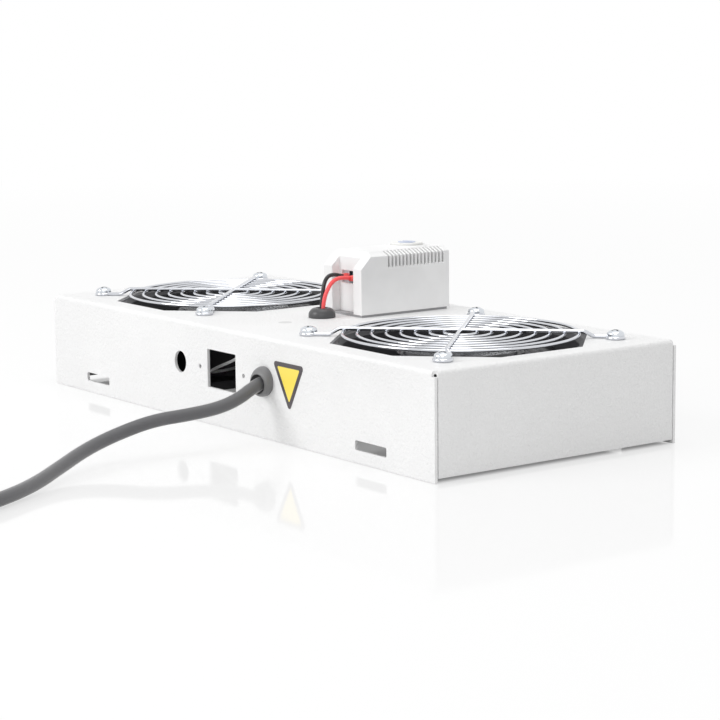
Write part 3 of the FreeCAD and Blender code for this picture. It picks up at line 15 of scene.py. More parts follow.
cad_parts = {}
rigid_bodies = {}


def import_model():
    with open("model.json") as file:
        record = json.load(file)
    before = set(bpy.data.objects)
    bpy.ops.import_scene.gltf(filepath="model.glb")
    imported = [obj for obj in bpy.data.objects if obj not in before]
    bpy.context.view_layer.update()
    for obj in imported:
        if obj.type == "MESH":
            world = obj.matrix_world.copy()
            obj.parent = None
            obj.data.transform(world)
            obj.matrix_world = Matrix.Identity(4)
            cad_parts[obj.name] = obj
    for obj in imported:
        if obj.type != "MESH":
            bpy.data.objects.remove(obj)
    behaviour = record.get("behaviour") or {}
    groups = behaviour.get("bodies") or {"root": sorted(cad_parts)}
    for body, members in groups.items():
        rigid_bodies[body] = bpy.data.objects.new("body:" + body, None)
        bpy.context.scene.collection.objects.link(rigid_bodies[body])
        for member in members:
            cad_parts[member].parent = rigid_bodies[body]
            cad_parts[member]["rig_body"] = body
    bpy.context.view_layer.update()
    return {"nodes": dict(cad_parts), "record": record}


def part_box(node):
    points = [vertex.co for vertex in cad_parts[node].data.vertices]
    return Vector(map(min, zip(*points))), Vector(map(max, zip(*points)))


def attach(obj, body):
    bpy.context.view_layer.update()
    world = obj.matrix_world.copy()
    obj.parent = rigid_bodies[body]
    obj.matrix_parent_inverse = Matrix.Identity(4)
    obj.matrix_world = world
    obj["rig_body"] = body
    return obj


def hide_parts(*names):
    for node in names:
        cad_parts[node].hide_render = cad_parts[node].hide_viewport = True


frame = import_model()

MM = 0.001
print("nodes in the frame:", len(frame["nodes"]))


def mm(x, y, z):
    """A point given in millimetres."""
    return Vector((x, y, z)) * MM


# %% [markdown]
# The camera comes first, because it decides what each piece is seen against. It stands low in
# front of the near corner with a long lens, as for a product picture, so the tray's long edges
# run almost parallel. Its axes are built from three angles instead of a tracking constraint,
# so the small roll of the picture stays a number that can be read.

# %% Place the camera
AIM = mm(17.70, 0.0, 28.74)
AIM_DISTANCE = 1134.55 * MM
# In radians: round the tray, down onto it, and the small roll
AZIMUTH = -0.9392
ELEVATION = 0.1584
ROLL = -0.010
FOCAL_PIXELS = 2210.67
FRAME_PIXELS = 720
SENSOR = 36.0


def camera_axes(azimuth, elevation, roll):
    """The camera's right, up and forward directions."""
    forward = Vector((math.sin(azimuth) * math.cos(elevation),
                      math.cos(azimuth) * math.cos(elevation), -math.sin(elevation)))
    level = Vector((math.cos(azimuth), -math.sin(azimuth), 0.0))
    upright = level.cross(forward)
    right = level * math.cos(roll) + upright * math.sin(roll)
    up = upright * math.cos(roll) - level * math.sin(roll)
    return right, up, forward


def place_camera():
    """Puts the camera at its distance from the point it aims at, and gives its lens in millimetres."""
    data = bpy.data.cameras.new("camera")
    data.sensor_width = SENSOR
    data.lens = SENSOR * FOCAL_PIXELS / FRAME_PIXELS
    camera = bpy.data.objects.new("camera", data)
    bpy.context.scene.collection.objects.link(camera)
    right, up, forward = camera_axes(AZIMUTH, ELEVATION, ROLL)
    turn = Matrix((right, up, -forward)).transposed().to_4x4()
    camera.matrix_world = Matrix.Translation(AIM - forward * AIM_DISTANCE) @ turn
    bpy.context.scene.camera = camera
    return data.lens


print("lens %.2f mm" % place_camera())

# %% [markdown]
# The mains lead is one length of round sheathed cable. It leaves its rubber bush, sags to the
# shelf and runs out of the picture. The rest is put away as a neat coil of two layers: in along
# the bottom, out along the top, and off to the plug. One curve with few control points bends
# the way a stiff cable does, where a chain of arcs would look like bent wire. The coil's turns
# are more control points of the same curve, worked out from a short table of stations.

# %% Route the mains lead
CORD_DIAMETER = 6.4 * MM
# From the bush to the coil, chosen along the cable of the picture
ROUTE = [
    mm(39, -70.5, 28.5), mm(40.2, -76, 28.1), mm(42.6, -83, 26.4), mm(45.2, -92.5, 22.7),
    mm(46.4, -104.5, 19.8), mm(45.2, -121, 18.3), mm(42.6, -139, 17.3), mm(42.4, -159, 13),
    mm(48.4, -178, 9.4), mm(61, -198, 6), mm(76.5, -219, 3.6), mm(92, -242, 3.3),
    mm(102.5, -265, 3.3), mm(109.8, -283, 3.3),
]
COIL_CENTRE = mm(62.2, -296, 0)
COIL_STEPS = 16
# After so many turns: the radius and the height of the lead's middle, in millimetres
STATIONS = [
    (0.0, 48.0, 3.25), (3.5, 25.6, 3.25), (3.8, 24.0, 5.0), (4.1, 24.8, 9.2),
    (4.3, 26.8, 9.65), (4.5, 28.8, 9.65), (7.25, 46.4, 9.65),
]
# Off the coil's top and into the plug
TAIL = [
    COIL_CENTRE + mm(-12, -46.2, 10.8), COIL_CENTRE + mm(-20, -44.6, 14.2),
    COIL_CENTRE + mm(-29, -43, 17.8), COIL_CENTRE + mm(-38.2, -42.2, 18.85),
]


def station(turn):
    """Radius and height after so many turns, read between two stations."""
    for (start, radius_0, height_0), (end, radius_1, height_1) in zip(STATIONS, STATIONS[1:]):
        if turn <= end:
            share = (turn - start) / (end - start)
            return radius_0 + (radius_1 - radius_0) * share, height_0 + (height_1 - height_0) * share
    return STATIONS[-1][1:]


def coil_points():
    """Control points of the coil, clockwise from above, set out a little for the curve's cut."""
    set_out = 1 / math.cos(math.pi / COIL_STEPS)
    points = []
    for step in range(int(STATIONS[-1][0] * COIL_STEPS) + 1):
        radius, height = station(step / COIL_STEPS)
        angle = -2 * math.pi * step / COIL_STEPS
        reach = radius * set_out
        points.append(COIL_CENTRE + mm(reach * math.cos(angle), reach * math.sin(angle), height))
    return points


def round_curve(name, points, diameter, order=3, roundness=4):
    """A smooth round cable or wire along its control points, which carry its thickness."""
    data = bpy.data.curves.new(name, "CURVE")
    data.dimensions = "3D"
    spline = data.splines.new("NURBS")
    spline.points.add(len(points) - 1)
    for point, place in zip(spline.points, points):
        point.co = (*place, 1.0)
        point.radius = diameter / 2
    spline.order_u = order
    spline.use_endpoint_u = True
    data.resolution_u = 10
    data.bevel_depth = 1.0
    data.bevel_resolution = roundness
    data.use_fill_caps = True
    piece = bpy.data.objects.new(name, data)
    bpy.context.scene.collection.objects.link(piece)
    return piece


mains_lead = round_curve("mains_lead", ROUTE + coil_points() + TAIL, CORD_DIAMETER)
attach(mains_lead, "root")
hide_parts("mains_cord", "cord_coil", "mains_cord_end")
print("control points of the mains lead:", len(mains_lead.data.splines[0].points))

# %% [markdown]
# Every finish is a small network of nodes. Writing node sums as plain Python keeps such a
# network readable, so one class wraps a socket and knows the few sums that are used, and one
# method adds any other node: its settings first, then the values or links of its sockets.

# %% Node helpers
class Signal:
    """A socket that carries a number over a surface, with plain sums."""

    def __init__(self, nodes, socket):
        self.nodes = nodes
        self.socket = socket

    def sum(self, operation, first, second):
        """A Math node for one of the sums below."""
        return self.nodes.node("ShaderNodeMath", {"operation": operation}, {0: first, 1: second})

    def __add__(self, other):
        return self.sum("ADD", self, other)

    def __radd__(self, other):
        return self.sum("ADD", other, self)

    def __sub__(self, other):
        return self.sum("SUBTRACT", self, other)

    def __mul__(self, other):
        return self.sum("MULTIPLY", self, other)

    def __rmul__(self, other):
        return self.sum("MULTIPLY", other, self)


class Nodes:
    """A node tree being built, for a finish or for a shape."""

    def __init__(self, tree):
        self.tree = tree

    def join(self, socket, value):
        """Links a signal to a socket, or sets a plain value on it."""
        if isinstance(value, Signal):
            self.tree.links.new(value.socket, socket)
        else:
            socket.default_value = value

    def node(self, kind, settings=None, sockets=None, output=0):
        """Adds a node: its settings, then its sockets' values or links. Gives one of its outputs."""
        made = self.tree.nodes.new(kind)
        for setting, value in (settings or {}).items():
            if setting == "stops":
                for stop, (place, colour) in zip(made.color_ramp.elements, value):
                    stop.position = place
                    stop.color = colour
            else:
                setattr(made, setting, value)
        for socket, value in (sockets or {}).items():
            self.join(made.inputs[socket], value)
        return Signal(self, made.outputs[output])


print("node helpers:", Signal.__name__, Nodes.__name__)

# %% [markdown]
# A finish is such a network round one physical shader. Most finishes share three habits: even
# speckles of a given size, a colour that drifts between two shades, and a fine relief. Colours
# are given as they look on a screen, where they can be compared with the picture's.

# %% Finish helpers
class Finish(Nodes):
    """A material with one physical shader."""

    def __init__(self, name, **plain):
        self.material = bpy.data.materials.new(name)
        self.material.use_nodes = True
        super().__init__(self.material.node_tree)
        self.shader = self.tree.nodes["Principled BSDF"]
        for socket, value in plain.items():
            self.feed(socket.replace("_", " "), value)

    def feed(self, socket, value):
        """Sets or links one of the shader's sockets."""
        self.join(self.shader.inputs[socket], value)

    def speckle(self, size, detail=2.0):
        """Even noise with spots of about that size, from 0 to 1."""
        where = self.node("ShaderNodeTexCoord", output="Object")
        return self.node("ShaderNodeTexNoise", {}, {"Vector": where, "Scale": 1 / size,
                                                    "Detail": detail})

    def mottle(self, mask, first, second, low=0.35, high=0.65):
        """Feeds the base colour from one shade to another along a mask."""
        shade = self.node("ShaderNodeValToRGB", {"stops": [(low, first), (high, second)]},
                          {"Fac": mask})
        self.feed("Base Color", shade)

    def relief(self, height, depth):
        """Feeds fine bumps of that depth in metres."""
        self.feed("Normal", self.node("ShaderNodeBump", {}, {"Height": height, "Distance": depth}))


def tone(red, green, blue):
    """A colour as it is seen on a screen, from 0 to 255, as the shader wants it."""
    linear = []
    for channel in (red, green, blue):
        share = channel / 255
        linear.append(share / 12.92 if share <= 0.04045 else ((share + 0.055) / 1.055) ** 2.4)
    return (*linear, 1.0)


print("a middle grey of the screen is %.3f for a shader" % tone(128, 128, 128)[0])

# %% [markdown]
# The pan is powder-coated: a thick paint that is baked on and dries with a fine, even orange
# peel of about a millimetre. Two sizes of noise make the peel, and a very faint drift of shade
# keeps a large flat wall from looking like paper.

# %% Powder coat
COARSE_PEEL = 1.5 * MM
FINE_PEEL = 0.6 * MM
SHADE_DRIFT = 60 * MM


def powder_coat():
    """A white paint with an orange peel and a faint drift of shade."""
    finish = Finish("powder_coat", Specular_IOR_Level=0.4)
    peel = finish.speckle(COARSE_PEEL, 1.0) * 0.7 + finish.speckle(FINE_PEEL) * 0.3
    finish.relief(peel, 0.6 * MM)
    finish.mottle(finish.speckle(SHADE_DRIFT), tone(232, 232, 232), tone(236, 236, 236))
    finish.feed("Roughness", 0.42 + 0.1 * peel)
    return finish.material


POWDER_COAT = powder_coat()
print("finish:", POWDER_COAT.name)

# %% [markdown]
# Moulded plastics, rubbers and cable sheaths differ in shade, gloss and grain, but are made
# alike in a tool with a fine spark-eroded surface. One function makes them all, so that they
# stay a family and each still has its own scale of grain. The mains lead's sheath also has a
# sheen, because a matt rubbery skin looks paler where it turns away.

# %% Plastics and rubbers
CLOUD = 14 * MM


def moulded(name, shade, roughness, grain=0.3, depth=0.008, drift=0.04, **plain):
    """A moulded finish: its shade and gloss, the size and depth of its grain in millimetres, and
    the share by which its faint clouds are darker."""
    finish = Finish(name, **plain)
    fine = finish.speckle(grain * MM)
    darker = tuple(channel * (1 - drift) for channel in shade[:3]) + (1.0,)
    finish.mottle(finish.speckle(CLOUD), darker, shade)
    finish.relief(fine, depth * MM)
    finish.feed("Roughness", roughness - 0.04 + 0.08 * fine)
    return finish.material


# After the shade: roughness, then the size of the grain and its depth in millimetres
FAN_BLACK = moulded("fan_black", tone(30, 30, 33), 0.18, 0.6, 0.003)
FRAME_BLACK = moulded("frame_black", tone(58, 58, 61), 0.55, 0.8, 0.001)
HOUSING_GREY = moulded("housing_grey", tone(241, 241, 241), 0.38, 0.25, 0.012)
# The pad under the thermostat: its grey is painted shade, standing for the shaded line under the
# housing's foot
BASE_PAD_PAINTED_SHADE = moulded("base_grey", tone(160, 160, 162), 0.45)
SWITCH_BLACK = moulded("switch_black", tone(38, 38, 40), 0.45)
# The flush stud head is coated like the pan; its greyer tone is painted shade for the faint shaded ring
# round it
STUD_COAT_DARKENED_AS_SHADE = moulded("stud_paint", tone(208, 208, 208), 0.40, 0.4, 0.01)
DIAL_WHITE = moulded("dial_white", tone(236, 236, 233), 0.32, 0.2, 0.006)
CAP_BLUE_GREY = moulded("cap_blue_grey", tone(190, 198, 218), 0.35, 0.2, 0.006)
PLUG_PLASTIC = moulded("plug_plastic", tone(96, 96, 99), 0.40, 0.35, 0.015)
BUSH_RUBBER = moulded("bush_rubber", tone(118, 118, 119), 0.42, 0.3, 0.012)
LEAD_BUSH_RUBBER = moulded("lead_bush_rubber", tone(70, 70, 72), 0.36, 0.3, 0.010)
CORD_SHEATH = moulded("cord_sheath", tone(98, 98, 100), 0.48, 0.5, 0.008, Specular_IOR_Level=0.35,
                      Sheen_Weight=1.0, Sheen_Roughness=0.3)
RED_INSULATION = moulded("red_insulation", tone(252, 88, 90), 0.30, 0.4, 0.005)
COLLAR_CORAL = moulded("collar_coral", tone(252, 92, 88), 0.34, 0.4, 0.005)
BLACK_INSULATION = moulded("black_insulation", tone(40, 40, 42), 0.28, 0.4, 0.005)
GREY_INSULATION = moulded("grey_insulation", tone(244, 244, 244), 0.35, 0.4, 0.005)
BROWN_INSULATION = moulded("brown_insulation", tone(98, 62, 44), 0.30, 0.4, 0.005)
BLUE_INSULATION = moulded("blue_insulation", tone(52, 92, 158), 0.30, 0.4, 0.005)
STICKER_YELLOW = moulded("sticker_yellow", tone(250, 226, 96), 0.35, 0.6, 0.002, 0.02)
STICKER_GREY = moulded("sticker_grey", tone(78, 72, 76), 0.38, 0.6, 0.002, 0.03)
mains_lead.data.materials.append(CORD_SHEATH)
print("moulded finishes made")

# %% [markdown]
# The earth core is green with a yellow stripe that winds along it. A slanting wave of the
# object's own coordinates, cut off sharply by a ramp, is enough at that size.

# %% Green and yellow insulation
def striped_insulation():
    """Green insulation with a yellow stripe."""
    finish = Finish("green_yellow_insulation", Roughness=0.3)
    where = finish.node("ShaderNodeTexCoord", output="Object")
    bands = finish.node("ShaderNodeTexWave", {"bands_direction": "DIAGONAL"},
                        {"Vector": where, "Scale": 60.0})
    finish.mottle(bands, tone(46, 132, 62), tone(226, 208, 60), 0.60, 0.66)
    return finish.material


GREEN_YELLOW_INSULATION = striped_insulation()
print("finish:", GREEN_YELLOW_INSULATION.name)

# %% [markdown]
# The metals take their looks from what they mirror, so their colour is plain and the detail is
# in the gloss: drawn and plated wire is very smooth, nickel screws a little less, and turned
# brass and zinc show a soft grain.

# %% Metals
def metal(name, shade, roughness, grain, unevenness, depth=0.0):
    """A bare or plated metal. Its gloss varies by the unevenness in spots of the grain's size."""
    finish = Finish(name, Base_Color=shade, Metallic=1.0)
    haze = finish.speckle(grain * MM)
    finish.feed("Roughness", roughness + unevenness * haze)
    if depth:
        finish.relief(haze, depth * MM)
    return finish.material


# After the shade: roughness, the size of its spots in millimetres, their unevenness, and a depth
CHROME = metal("chrome", tone(214, 216, 221), 0.05, 9.0, 0.05)
NICKEL = metal("nickel", tone(216, 220, 225), 0.12, 1.2, 0.10, 0.004)
ZINC = metal("zinc", tone(198, 200, 202), 0.26, 0.7, 0.16, 0.006)
BEARING_STEEL = metal("bearing_steel", tone(204, 204, 206), 0.18, 0.6, 0.10)
BRASS = metal("brass", tone(214, 184, 112), 0.22, 0.5, 0.14, 0.005)
COPPER = metal("copper_windings", tone(176, 100, 66), 0.34, 0.4, 0.14, 0.03)
print("metals made")

# %% [markdown]
# A CAD piece arrives as loose flat triangles. Where its shape is right it only needs smooth
# shading: a copy has its doubles merged, keeps the edges that are really sharp, and may get the
# small rounding that every moulded or cut edge has, which catches the light. Weighted normals
# keep the large flats flat. The copy stands for the node, which stays in the physics.

# %% From CAD triangles to a smooth piece
# Points closer than this are one
MERGE = 0.002 * MM
# Faces that meet at less than this are one flat
FLAT = math.radians(0.5)
# Edges of more degrees than this stay sharp
SHARP = 32


def link(name, mesh, material, body, slot, *nodes):
    """Puts a finished mesh in the scene, on its body and for its nodes."""
    piece = bpy.data.objects.new(name, mesh)
    bpy.context.scene.collection.objects.link(piece)
    mesh.materials.clear()
    mesh.materials.append(material)
    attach(piece, body)
    if nodes:
        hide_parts(*nodes)
    return piece


def bare_copy(node):
    """A node's surface as plain merged triangles."""
    source = frame["nodes"][node].data
    tool = bmesh.new()
    corners = [tool.verts.new(vertex.co) for vertex in source.vertices]
    for face in source.polygons:
        tool.faces.new([corners[index] for index in face.vertices])
    bmesh.ops.remove_doubles(tool, verts=tool.verts, dist=MERGE)
    return tool


def finished(tool, name, sharp, rounding=0.0):
    """Turns an edited mesh into a smooth one, with its sharp edges kept or rounded."""
    mesh = bpy.data.meshes.new(name)
    tool.to_mesh(mesh)
    tool.free()
    mesh.polygons.foreach_set("use_smooth", [True] * len(mesh.polygons))
    mesh.set_sharp_from_angle(angle=math.radians(sharp))
    form = bpy.data.objects.new(name + "_form", mesh)
    bpy.context.scene.collection.objects.link(form)
    if rounding:
        edge = form.modifiers.new("rounding", "BEVEL")
        edge.width = rounding
        edge.segments = 2
        edge.limit_method = "ANGLE"
        edge.angle_limit = math.radians(sharp)
    weighted = form.modifiers.new("weighted", "WEIGHTED_NORMAL")
    weighted.keep_sharp = not rounding
    return baked(form, name)


def baked(form, name):
    """The plain mesh that an object's modifiers end in. The object itself goes."""
    form.update_tag()
    seen = bpy.context.evaluated_depsgraph_get()
    mesh = bpy.data.meshes.new_from_object(form.evaluated_get(seen))
    mesh.name = name
    bpy.data.objects.remove(form)
    return mesh


def dress(node, material, sharp=SHARP, rounding=0.0):
    """A smooth stand-in for one CAD node."""
    tool = bare_copy(node)
    if rounding:
        bmesh.ops.dissolve_limit(tool, angle_limit=FLAT, verts=tool.verts, edges=tool.edges)
    body = frame["nodes"][node]["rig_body"]
    slots = {part["node"]: part["material_slot"] for part in frame["record"]["subparts"]}
    return link(node + "_skin", finished(tool, node + "_skin", sharp, rounding), material, body,
                slots[node], node)


def keep(node, material):
    """A CAD node that stays as it is, with a better finish."""
    mesh = frame["nodes"][node].data
    mesh.materials.clear()
    mesh.materials.append(material)


print("edges of more than %d degrees stay sharp" % SHARP)

# %% [markdown]
# Most pieces are right as they come: the pan, the fans with their blades, the thermostat and
# what is wired to it. Only the thermostat's housing gets rounded edges, because it stands in
# full light. A few plain pieces, such as nuts, stay as they are and only get a finish.

# %% Dress the CAD pieces
# The two fans, either side of the tray's middle along X
SIDES = {"left": -1, "right": 1}
dress("tray_shell", POWDER_COAT)
for side in SIDES:
    dress("fan_frame_" + side, FRAME_BLACK)
    dress("impeller_" + side, FAN_BLACK)
    dress("rotor_shaft_" + side, BEARING_STEEL)
    dress("fan_bearings_" + side, BEARING_STEEL)
    dress("fan_stator_" + side, COPPER)
    keep("fan_nuts_" + side, ZINC)
dress("thermostat_housing", HOUSING_GREY, sharp=25, rounding=0.35 * MM)
# The base pad's grey is painted shade under the housing's foot
dress("thermostat_base", BASE_PAD_PAINTED_SHADE)
dress("thermostat_dial", DIAL_WHITE)
dress("dial_cap", CAP_BLUE_GREY)
dress("thermostat_clamps", NICKEL)
keep("thermostat_switch", SWITCH_BLACK)
keep("bimetal_strip", ZINC)
dress("thermostat_base_screws", ZINC)
dress("lead_ferrules", COLLAR_CORAL)
dress("terminal_block", DIAL_WHITE)
dress("block_screws", BRASS)
# The stud head's greyer coat is painted shade round its flush edge
dress("earth_stud", STUD_COAT_DARKENED_AS_SHADE)
keep("earth_nut", ZINC)
dress("earth_tag", ZINC)
dress("cord_sheath_end", CORD_SHEATH)
dress("core_live", BROWN_INSULATION)
dress("core_neutral", BLUE_INSULATION)
dress("core_earth", GREEN_YELLOW_INSULATION)
dress("fan_lead_right", GREY_INSULATION)
print("CAD pieces dressed")

# %% [markdown]
# What repeats, such as rings and screws, comes from a node tree with an inlet for each of its
# sizes. A modifier takes the values by each inlet's identifier, and its result is kept as a
# plain mesh, so that nothing live is left. One class holds these steps, and a recipe is then
# only about its shape.

# %% The recipe for a shape
INLETS = {
    int: "NodeSocketInt", float: "NodeSocketFloat", Vector: "NodeSocketVector",
    bpy.types.Material: "NodeSocketMaterial", bpy.types.Object: "NodeSocketObject",
}


class Recipe(Nodes):
    """A geometry tree with named inputs."""

    def __init__(self, name, **inputs):
        super().__init__(bpy.data.node_groups.new(name, "GeometryNodeTree"))
        self.values = inputs
        self.sockets = {}
        for label, value in inputs.items():
            kind = INLETS[type(value)]
            made = self.tree.interface.new_socket(label, in_out="INPUT", socket_type=kind)
            self.sockets[label] = made.identifier
        self.tree.interface.new_socket("Geometry", in_out="OUTPUT", socket_type="NodeSocketGeometry")
        self.start = self.tree.nodes.new("NodeGroupInput")
        self.end = self.tree.nodes.new("NodeGroupOutput")

    def given(self, label):
        """The value of one of the tree's inputs."""
        return Signal(self, self.start.outputs[label])

    def vector(self, x=0.0, y=0.0, z=0.0):
        """Three numbers or signals as one vector."""
        return self.node("ShaderNodeCombineXYZ", {}, {"X": x, "Y": y, "Z": z})

    def swept(self, path, radius):
        """A round wire along a path."""
        section = self.node("GeometryNodeCurvePrimitiveCircle", {},
                            {"Resolution": 12, "Radius": radius})
        return self.node("GeometryNodeCurveToMesh", {}, {"Curve": path, "Profile Curve": section,
                                                         "Fill Caps": True})

    def moved(self, shape, z=0.0, turn=0.0):
        """A shape turned about Z and lifted."""
        return self.node("GeometryNodeTransform", {},
                         {"Geometry": shape, "Translation": self.vector(z=z),
                          "Rotation": (0.0, 0.0, turn)})

    def carried(self, shape, middle):
        """A shape with all its points moved by the same vector."""
        real = self.node("GeometryNodeRealizeInstances", {}, {"Geometry": shape})
        return self.node("GeometryNodeSetPosition", {}, {"Geometry": real, "Offset": middle})

    def eased(self, value, start, end, low, high):
        """Runs smoothly from one level to another while the value goes from start to end."""
        return self.node("ShaderNodeMapRange", {"interpolation_type": "SMOOTHSTEP"},
                         {"Value": value, "From Min": start, "From Max": end,
                          "To Min": low, "To Max": high})

    def joined(self, *shapes):
        """Several shapes as one."""
        made = self.tree.nodes.new("GeometryNodeJoinGeometry")
        for shape in shapes:
            self.tree.links.new(shape.socket, made.inputs[0])
        return Signal(self, made.outputs[0])

    def finish(self, shape, material):
        """Ends the tree: smooth, real geometry with its material."""
        smooth = self.node("GeometryNodeSetShadeSmooth", {}, {"Geometry": shape})
        real = self.node("GeometryNodeRealizeInstances", {}, {"Geometry": smooth})
        last = self.node("GeometryNodeSetMaterial", {}, {"Geometry": real, "Material": material})
        self.tree.links.new(last.socket, self.end.inputs[0])

    def made(self, name, **changed):
        """The plain mesh that the tree gives for its values."""
        form = bpy.data.objects.new(name + "_form", bpy.data.meshes.new(name + "_form"))
        bpy.context.scene.collection.objects.link(form)
        modifier = form.modifiers.new("recipe", "NODES")
        modifier.node_group = self.tree
        for label, value in {**self.values, **changed}.items():
            modifier[self.sockets[label]] = value
        return baked(form, name)


print("kinds of inlet:", len(INLETS))

# %% [markdown]
# A finger guard is eight rings of drawn wire, spot-welded under two crossed wires whose ends
# step down to the pan, a little to one side, and meet eyelets for the screws. Everything in it
# follows a rule: rings from an index, the steps from smooth ramps along the wire, and eyelets
# at the four corners.

# %% Parts of a finger guard
FAN_PITCH = 200 * MM
SCREW_PITCH = 105 * MM
PAN_TOP = 50 * MM
CROSS_WIRE = 2.0 * MM
RING_WIRE = 1.6 * MM
CROSS_LEVEL = PAN_TOP + 3.6 * MM
# How deep a spot weld sinks a ring into the crossed wires
WELD_SINK = 0.3 * MM
# The eyelets are pressed: their radius is this share of the wire's diameter, and they lie lower
EYELET_SHARE = 0.45
EYELET_DROP = 0.15 * MM


def guard_rings(recipe):
    """The rings, with a radius that grows by the index of each."""
    index = recipe.node("GeometryNodeInputIndex")
    radius = recipe.given("First_Radius") + index * recipe.given("Ring_Step")
    spots = recipe.node("GeometryNodePoints", {}, {"Count": recipe.given("Rings")})
    circle = recipe.node("GeometryNodeCurvePrimitiveCircle", {}, {"Resolution": 96, "Radius": 1.0})
    placed = recipe.node("GeometryNodeInstanceOnPoints", {},
                         {"Points": spots, "Instance": circle,
                          "Scale": recipe.vector(radius, radius, radius)})
    lines = recipe.node("GeometryNodeRealizeInstances", {}, {"Geometry": placed})
    return recipe.moved(recipe.swept(lines, recipe.given("Ring_Wire") * 0.5),
                        z=recipe.given("Ring_Level"))


def guard_wire(recipe):
    """One wire across, which steps down and to one side near both ends."""
    reach = recipe.given("Screw_Radius") - recipe.given("Curl_Back")
    line = recipe.node("GeometryNodeCurvePrimitiveLine", {},
                       {"Start": recipe.vector(reach * -1.0), "End": recipe.vector(reach)})
    dense = recipe.node("GeometryNodeResampleCurve", {}, {"Curve": line, "Count": 161})
    place = recipe.node("GeometryNodeInputPosition")
    along = recipe.node("ShaderNodeSeparateXYZ", {}, {"Vector": place})
    out = recipe.node("ShaderNodeMath", {"operation": "ABSOLUTE"}, {0: along})
    end = recipe.node("ShaderNodeMath", {"operation": "SIGN"}, {0: along})
    step = (recipe.given("Step_Start"), recipe.given("Step_End"))
    level = recipe.eased(out, *step, recipe.given("Cross_Level"), recipe.given("Foot_Level"))
    beside = recipe.eased(out, *step, 0.0, recipe.given("Side_Step"))
    stepped = recipe.node("GeometryNodeSetPosition", {},
                          {"Geometry": dense, "Offset": recipe.vector(y=beside * end, z=level)})
    return recipe.swept(stepped, recipe.given("Cross_Wire") * 0.5)


def guard_eyelets(recipe):
    """A loop of wire round each screw."""
    corners = recipe.node("GeometryNodeMeshCircle", {},
                          {"Vertices": 4, "Radius": recipe.given("Screw_Radius")})
    loop = recipe.node("GeometryNodeCurvePrimitiveCircle", {},
                       {"Resolution": 32, "Radius": recipe.given("Eyelet_Radius")})
    eyelet = recipe.moved(recipe.swept(loop, recipe.given("Cross_Wire") * EYELET_SHARE),
                          z=recipe.given("Foot_Level") - EYELET_DROP)
    return recipe.node("GeometryNodeInstanceOnPoints", {}, {"Points": corners, "Instance": eyelet})


print("guard wires: %.1f mm across, %.1f mm in the rings" % (CROSS_WIRE / MM, RING_WIRE / MM))

# %% [markdown]
# One wire and its copy turned by a quarter make the cross, which stands at 45 degrees to the
# tray because the screws are at the fan's corners. The same tree serves both fans with another
# middle.

# %% Finger guards
def guard_recipe():
    """Rings, crossed wires and eyelets round a middle."""
    recipe = Recipe("finger_guard", Rings=8, First_Radius=8 * MM, Ring_Step=7 * MM,
                    Ring_Wire=RING_WIRE,
                    Ring_Level=CROSS_LEVEL - (CROSS_WIRE + RING_WIRE) / 2 + WELD_SINK,
                    Cross_Wire=CROSS_WIRE, Cross_Level=CROSS_LEVEL,
                    Foot_Level=PAN_TOP + CROSS_WIRE / 2,
                    Screw_Radius=SCREW_PITCH / math.sqrt(2), Eyelet_Radius=3.9 * MM,
                    Curl_Back=3.0 * MM, Side_Step=2.4 * MM, Step_Start=58.5 * MM,
                    Step_End=64.5 * MM, Middle=Vector((0.0, 0.0, 0.0)), Finish=CHROME)
    wire = guard_wire(recipe)
    across = recipe.joined(wire, recipe.moved(wire, turn=math.pi / 2), guard_eyelets(recipe))
    whole = recipe.joined(guard_rings(recipe), recipe.moved(across, turn=math.pi / 4))
    recipe.finish(recipe.carried(whole, recipe.given("Middle")), recipe.given("Finish"))
    return recipe


finger_guard = guard_recipe()
for side, sign in SIDES.items():
    fan_middle = Vector((sign * FAN_PITCH / 2, 0.0, 0.0))
    mesh = finger_guard.made("finger_guard_wires_" + side, Middle=fan_middle)
    link(mesh.name, mesh, CHROME, "root", "chrome_wire", "finger_guard_" + side)
    print(mesh.name, "faces", len(mesh.polygons))

# %% [markdown]
# Turned things, such as a screw head, a rubber bush or a collar, are one half profile swept
# round an axis. A short function does it: rings of points joined by quads, with a single point
# where the profile meets the axis, so that the pole is closed and the faces look outwards.

# %% Turn a profile
def turned(profile, steps):
    """Sweeps (radius, height) points, from the bottom up along the outside, round the Z axis."""
    tool = bmesh.new()
    rings = []
    for radius, height in profile:
        if radius <= 0:
            rings.append([tool.verts.new((0.0, 0.0, height))])
            continue
        ring = []
        for step in range(steps):
            angle = 2 * math.pi * step / steps
            ring.append(tool.verts.new((radius * math.cos(angle), radius * math.sin(angle), height)))
        rings.append(ring)
    for lower, upper in zip(rings, rings[1:]):
        for step in range(steps):
            after = (step + 1) % steps
            corners = [lower[step % len(lower)], lower[after % len(lower)],
                       upper[after % len(upper)], upper[step % len(upper)]]
            tool.faces.new(list(dict.fromkeys(corners)))
    return tool


def arc(centre, radii, start, end, steps):
    """Points of an elliptic arc in a profile, from one angle to another in degrees."""
    points = []
    for step in range(steps + 1):
        angle = math.radians(start + (end - start) * step / steps)
        points.append((centre[0] + radii[0] * math.cos(angle),
                       centre[1] + radii[1] * math.sin(angle)))
    return points


print("a quarter arc in six steps:", len(arc((0.0, 0.0), (1.0, 1.0), 0, 90, 6)), "points")

# %% [markdown]
# The fan screws are pan-head machine screws of 4 mm with a cross recess. One head is turned,
# and a node tree cuts the recess, sets four of them on the square of the fan's holes, and
# turns each by a chance angle, because nobody lines up screws by hand.

# %% Fan screws
HEAD_RADIUS = 4.2 * MM
HEAD_HEIGHT = 3.0 * MM
SHANK_RADIUS = 2.0 * MM
SCREW_LENGTH = 12.0 * MM
EYELET_THICKNESS = 1.6 * MM
HEAD_SEAT = PAN_TOP + EYELET_THICKNESS
SEED = 7


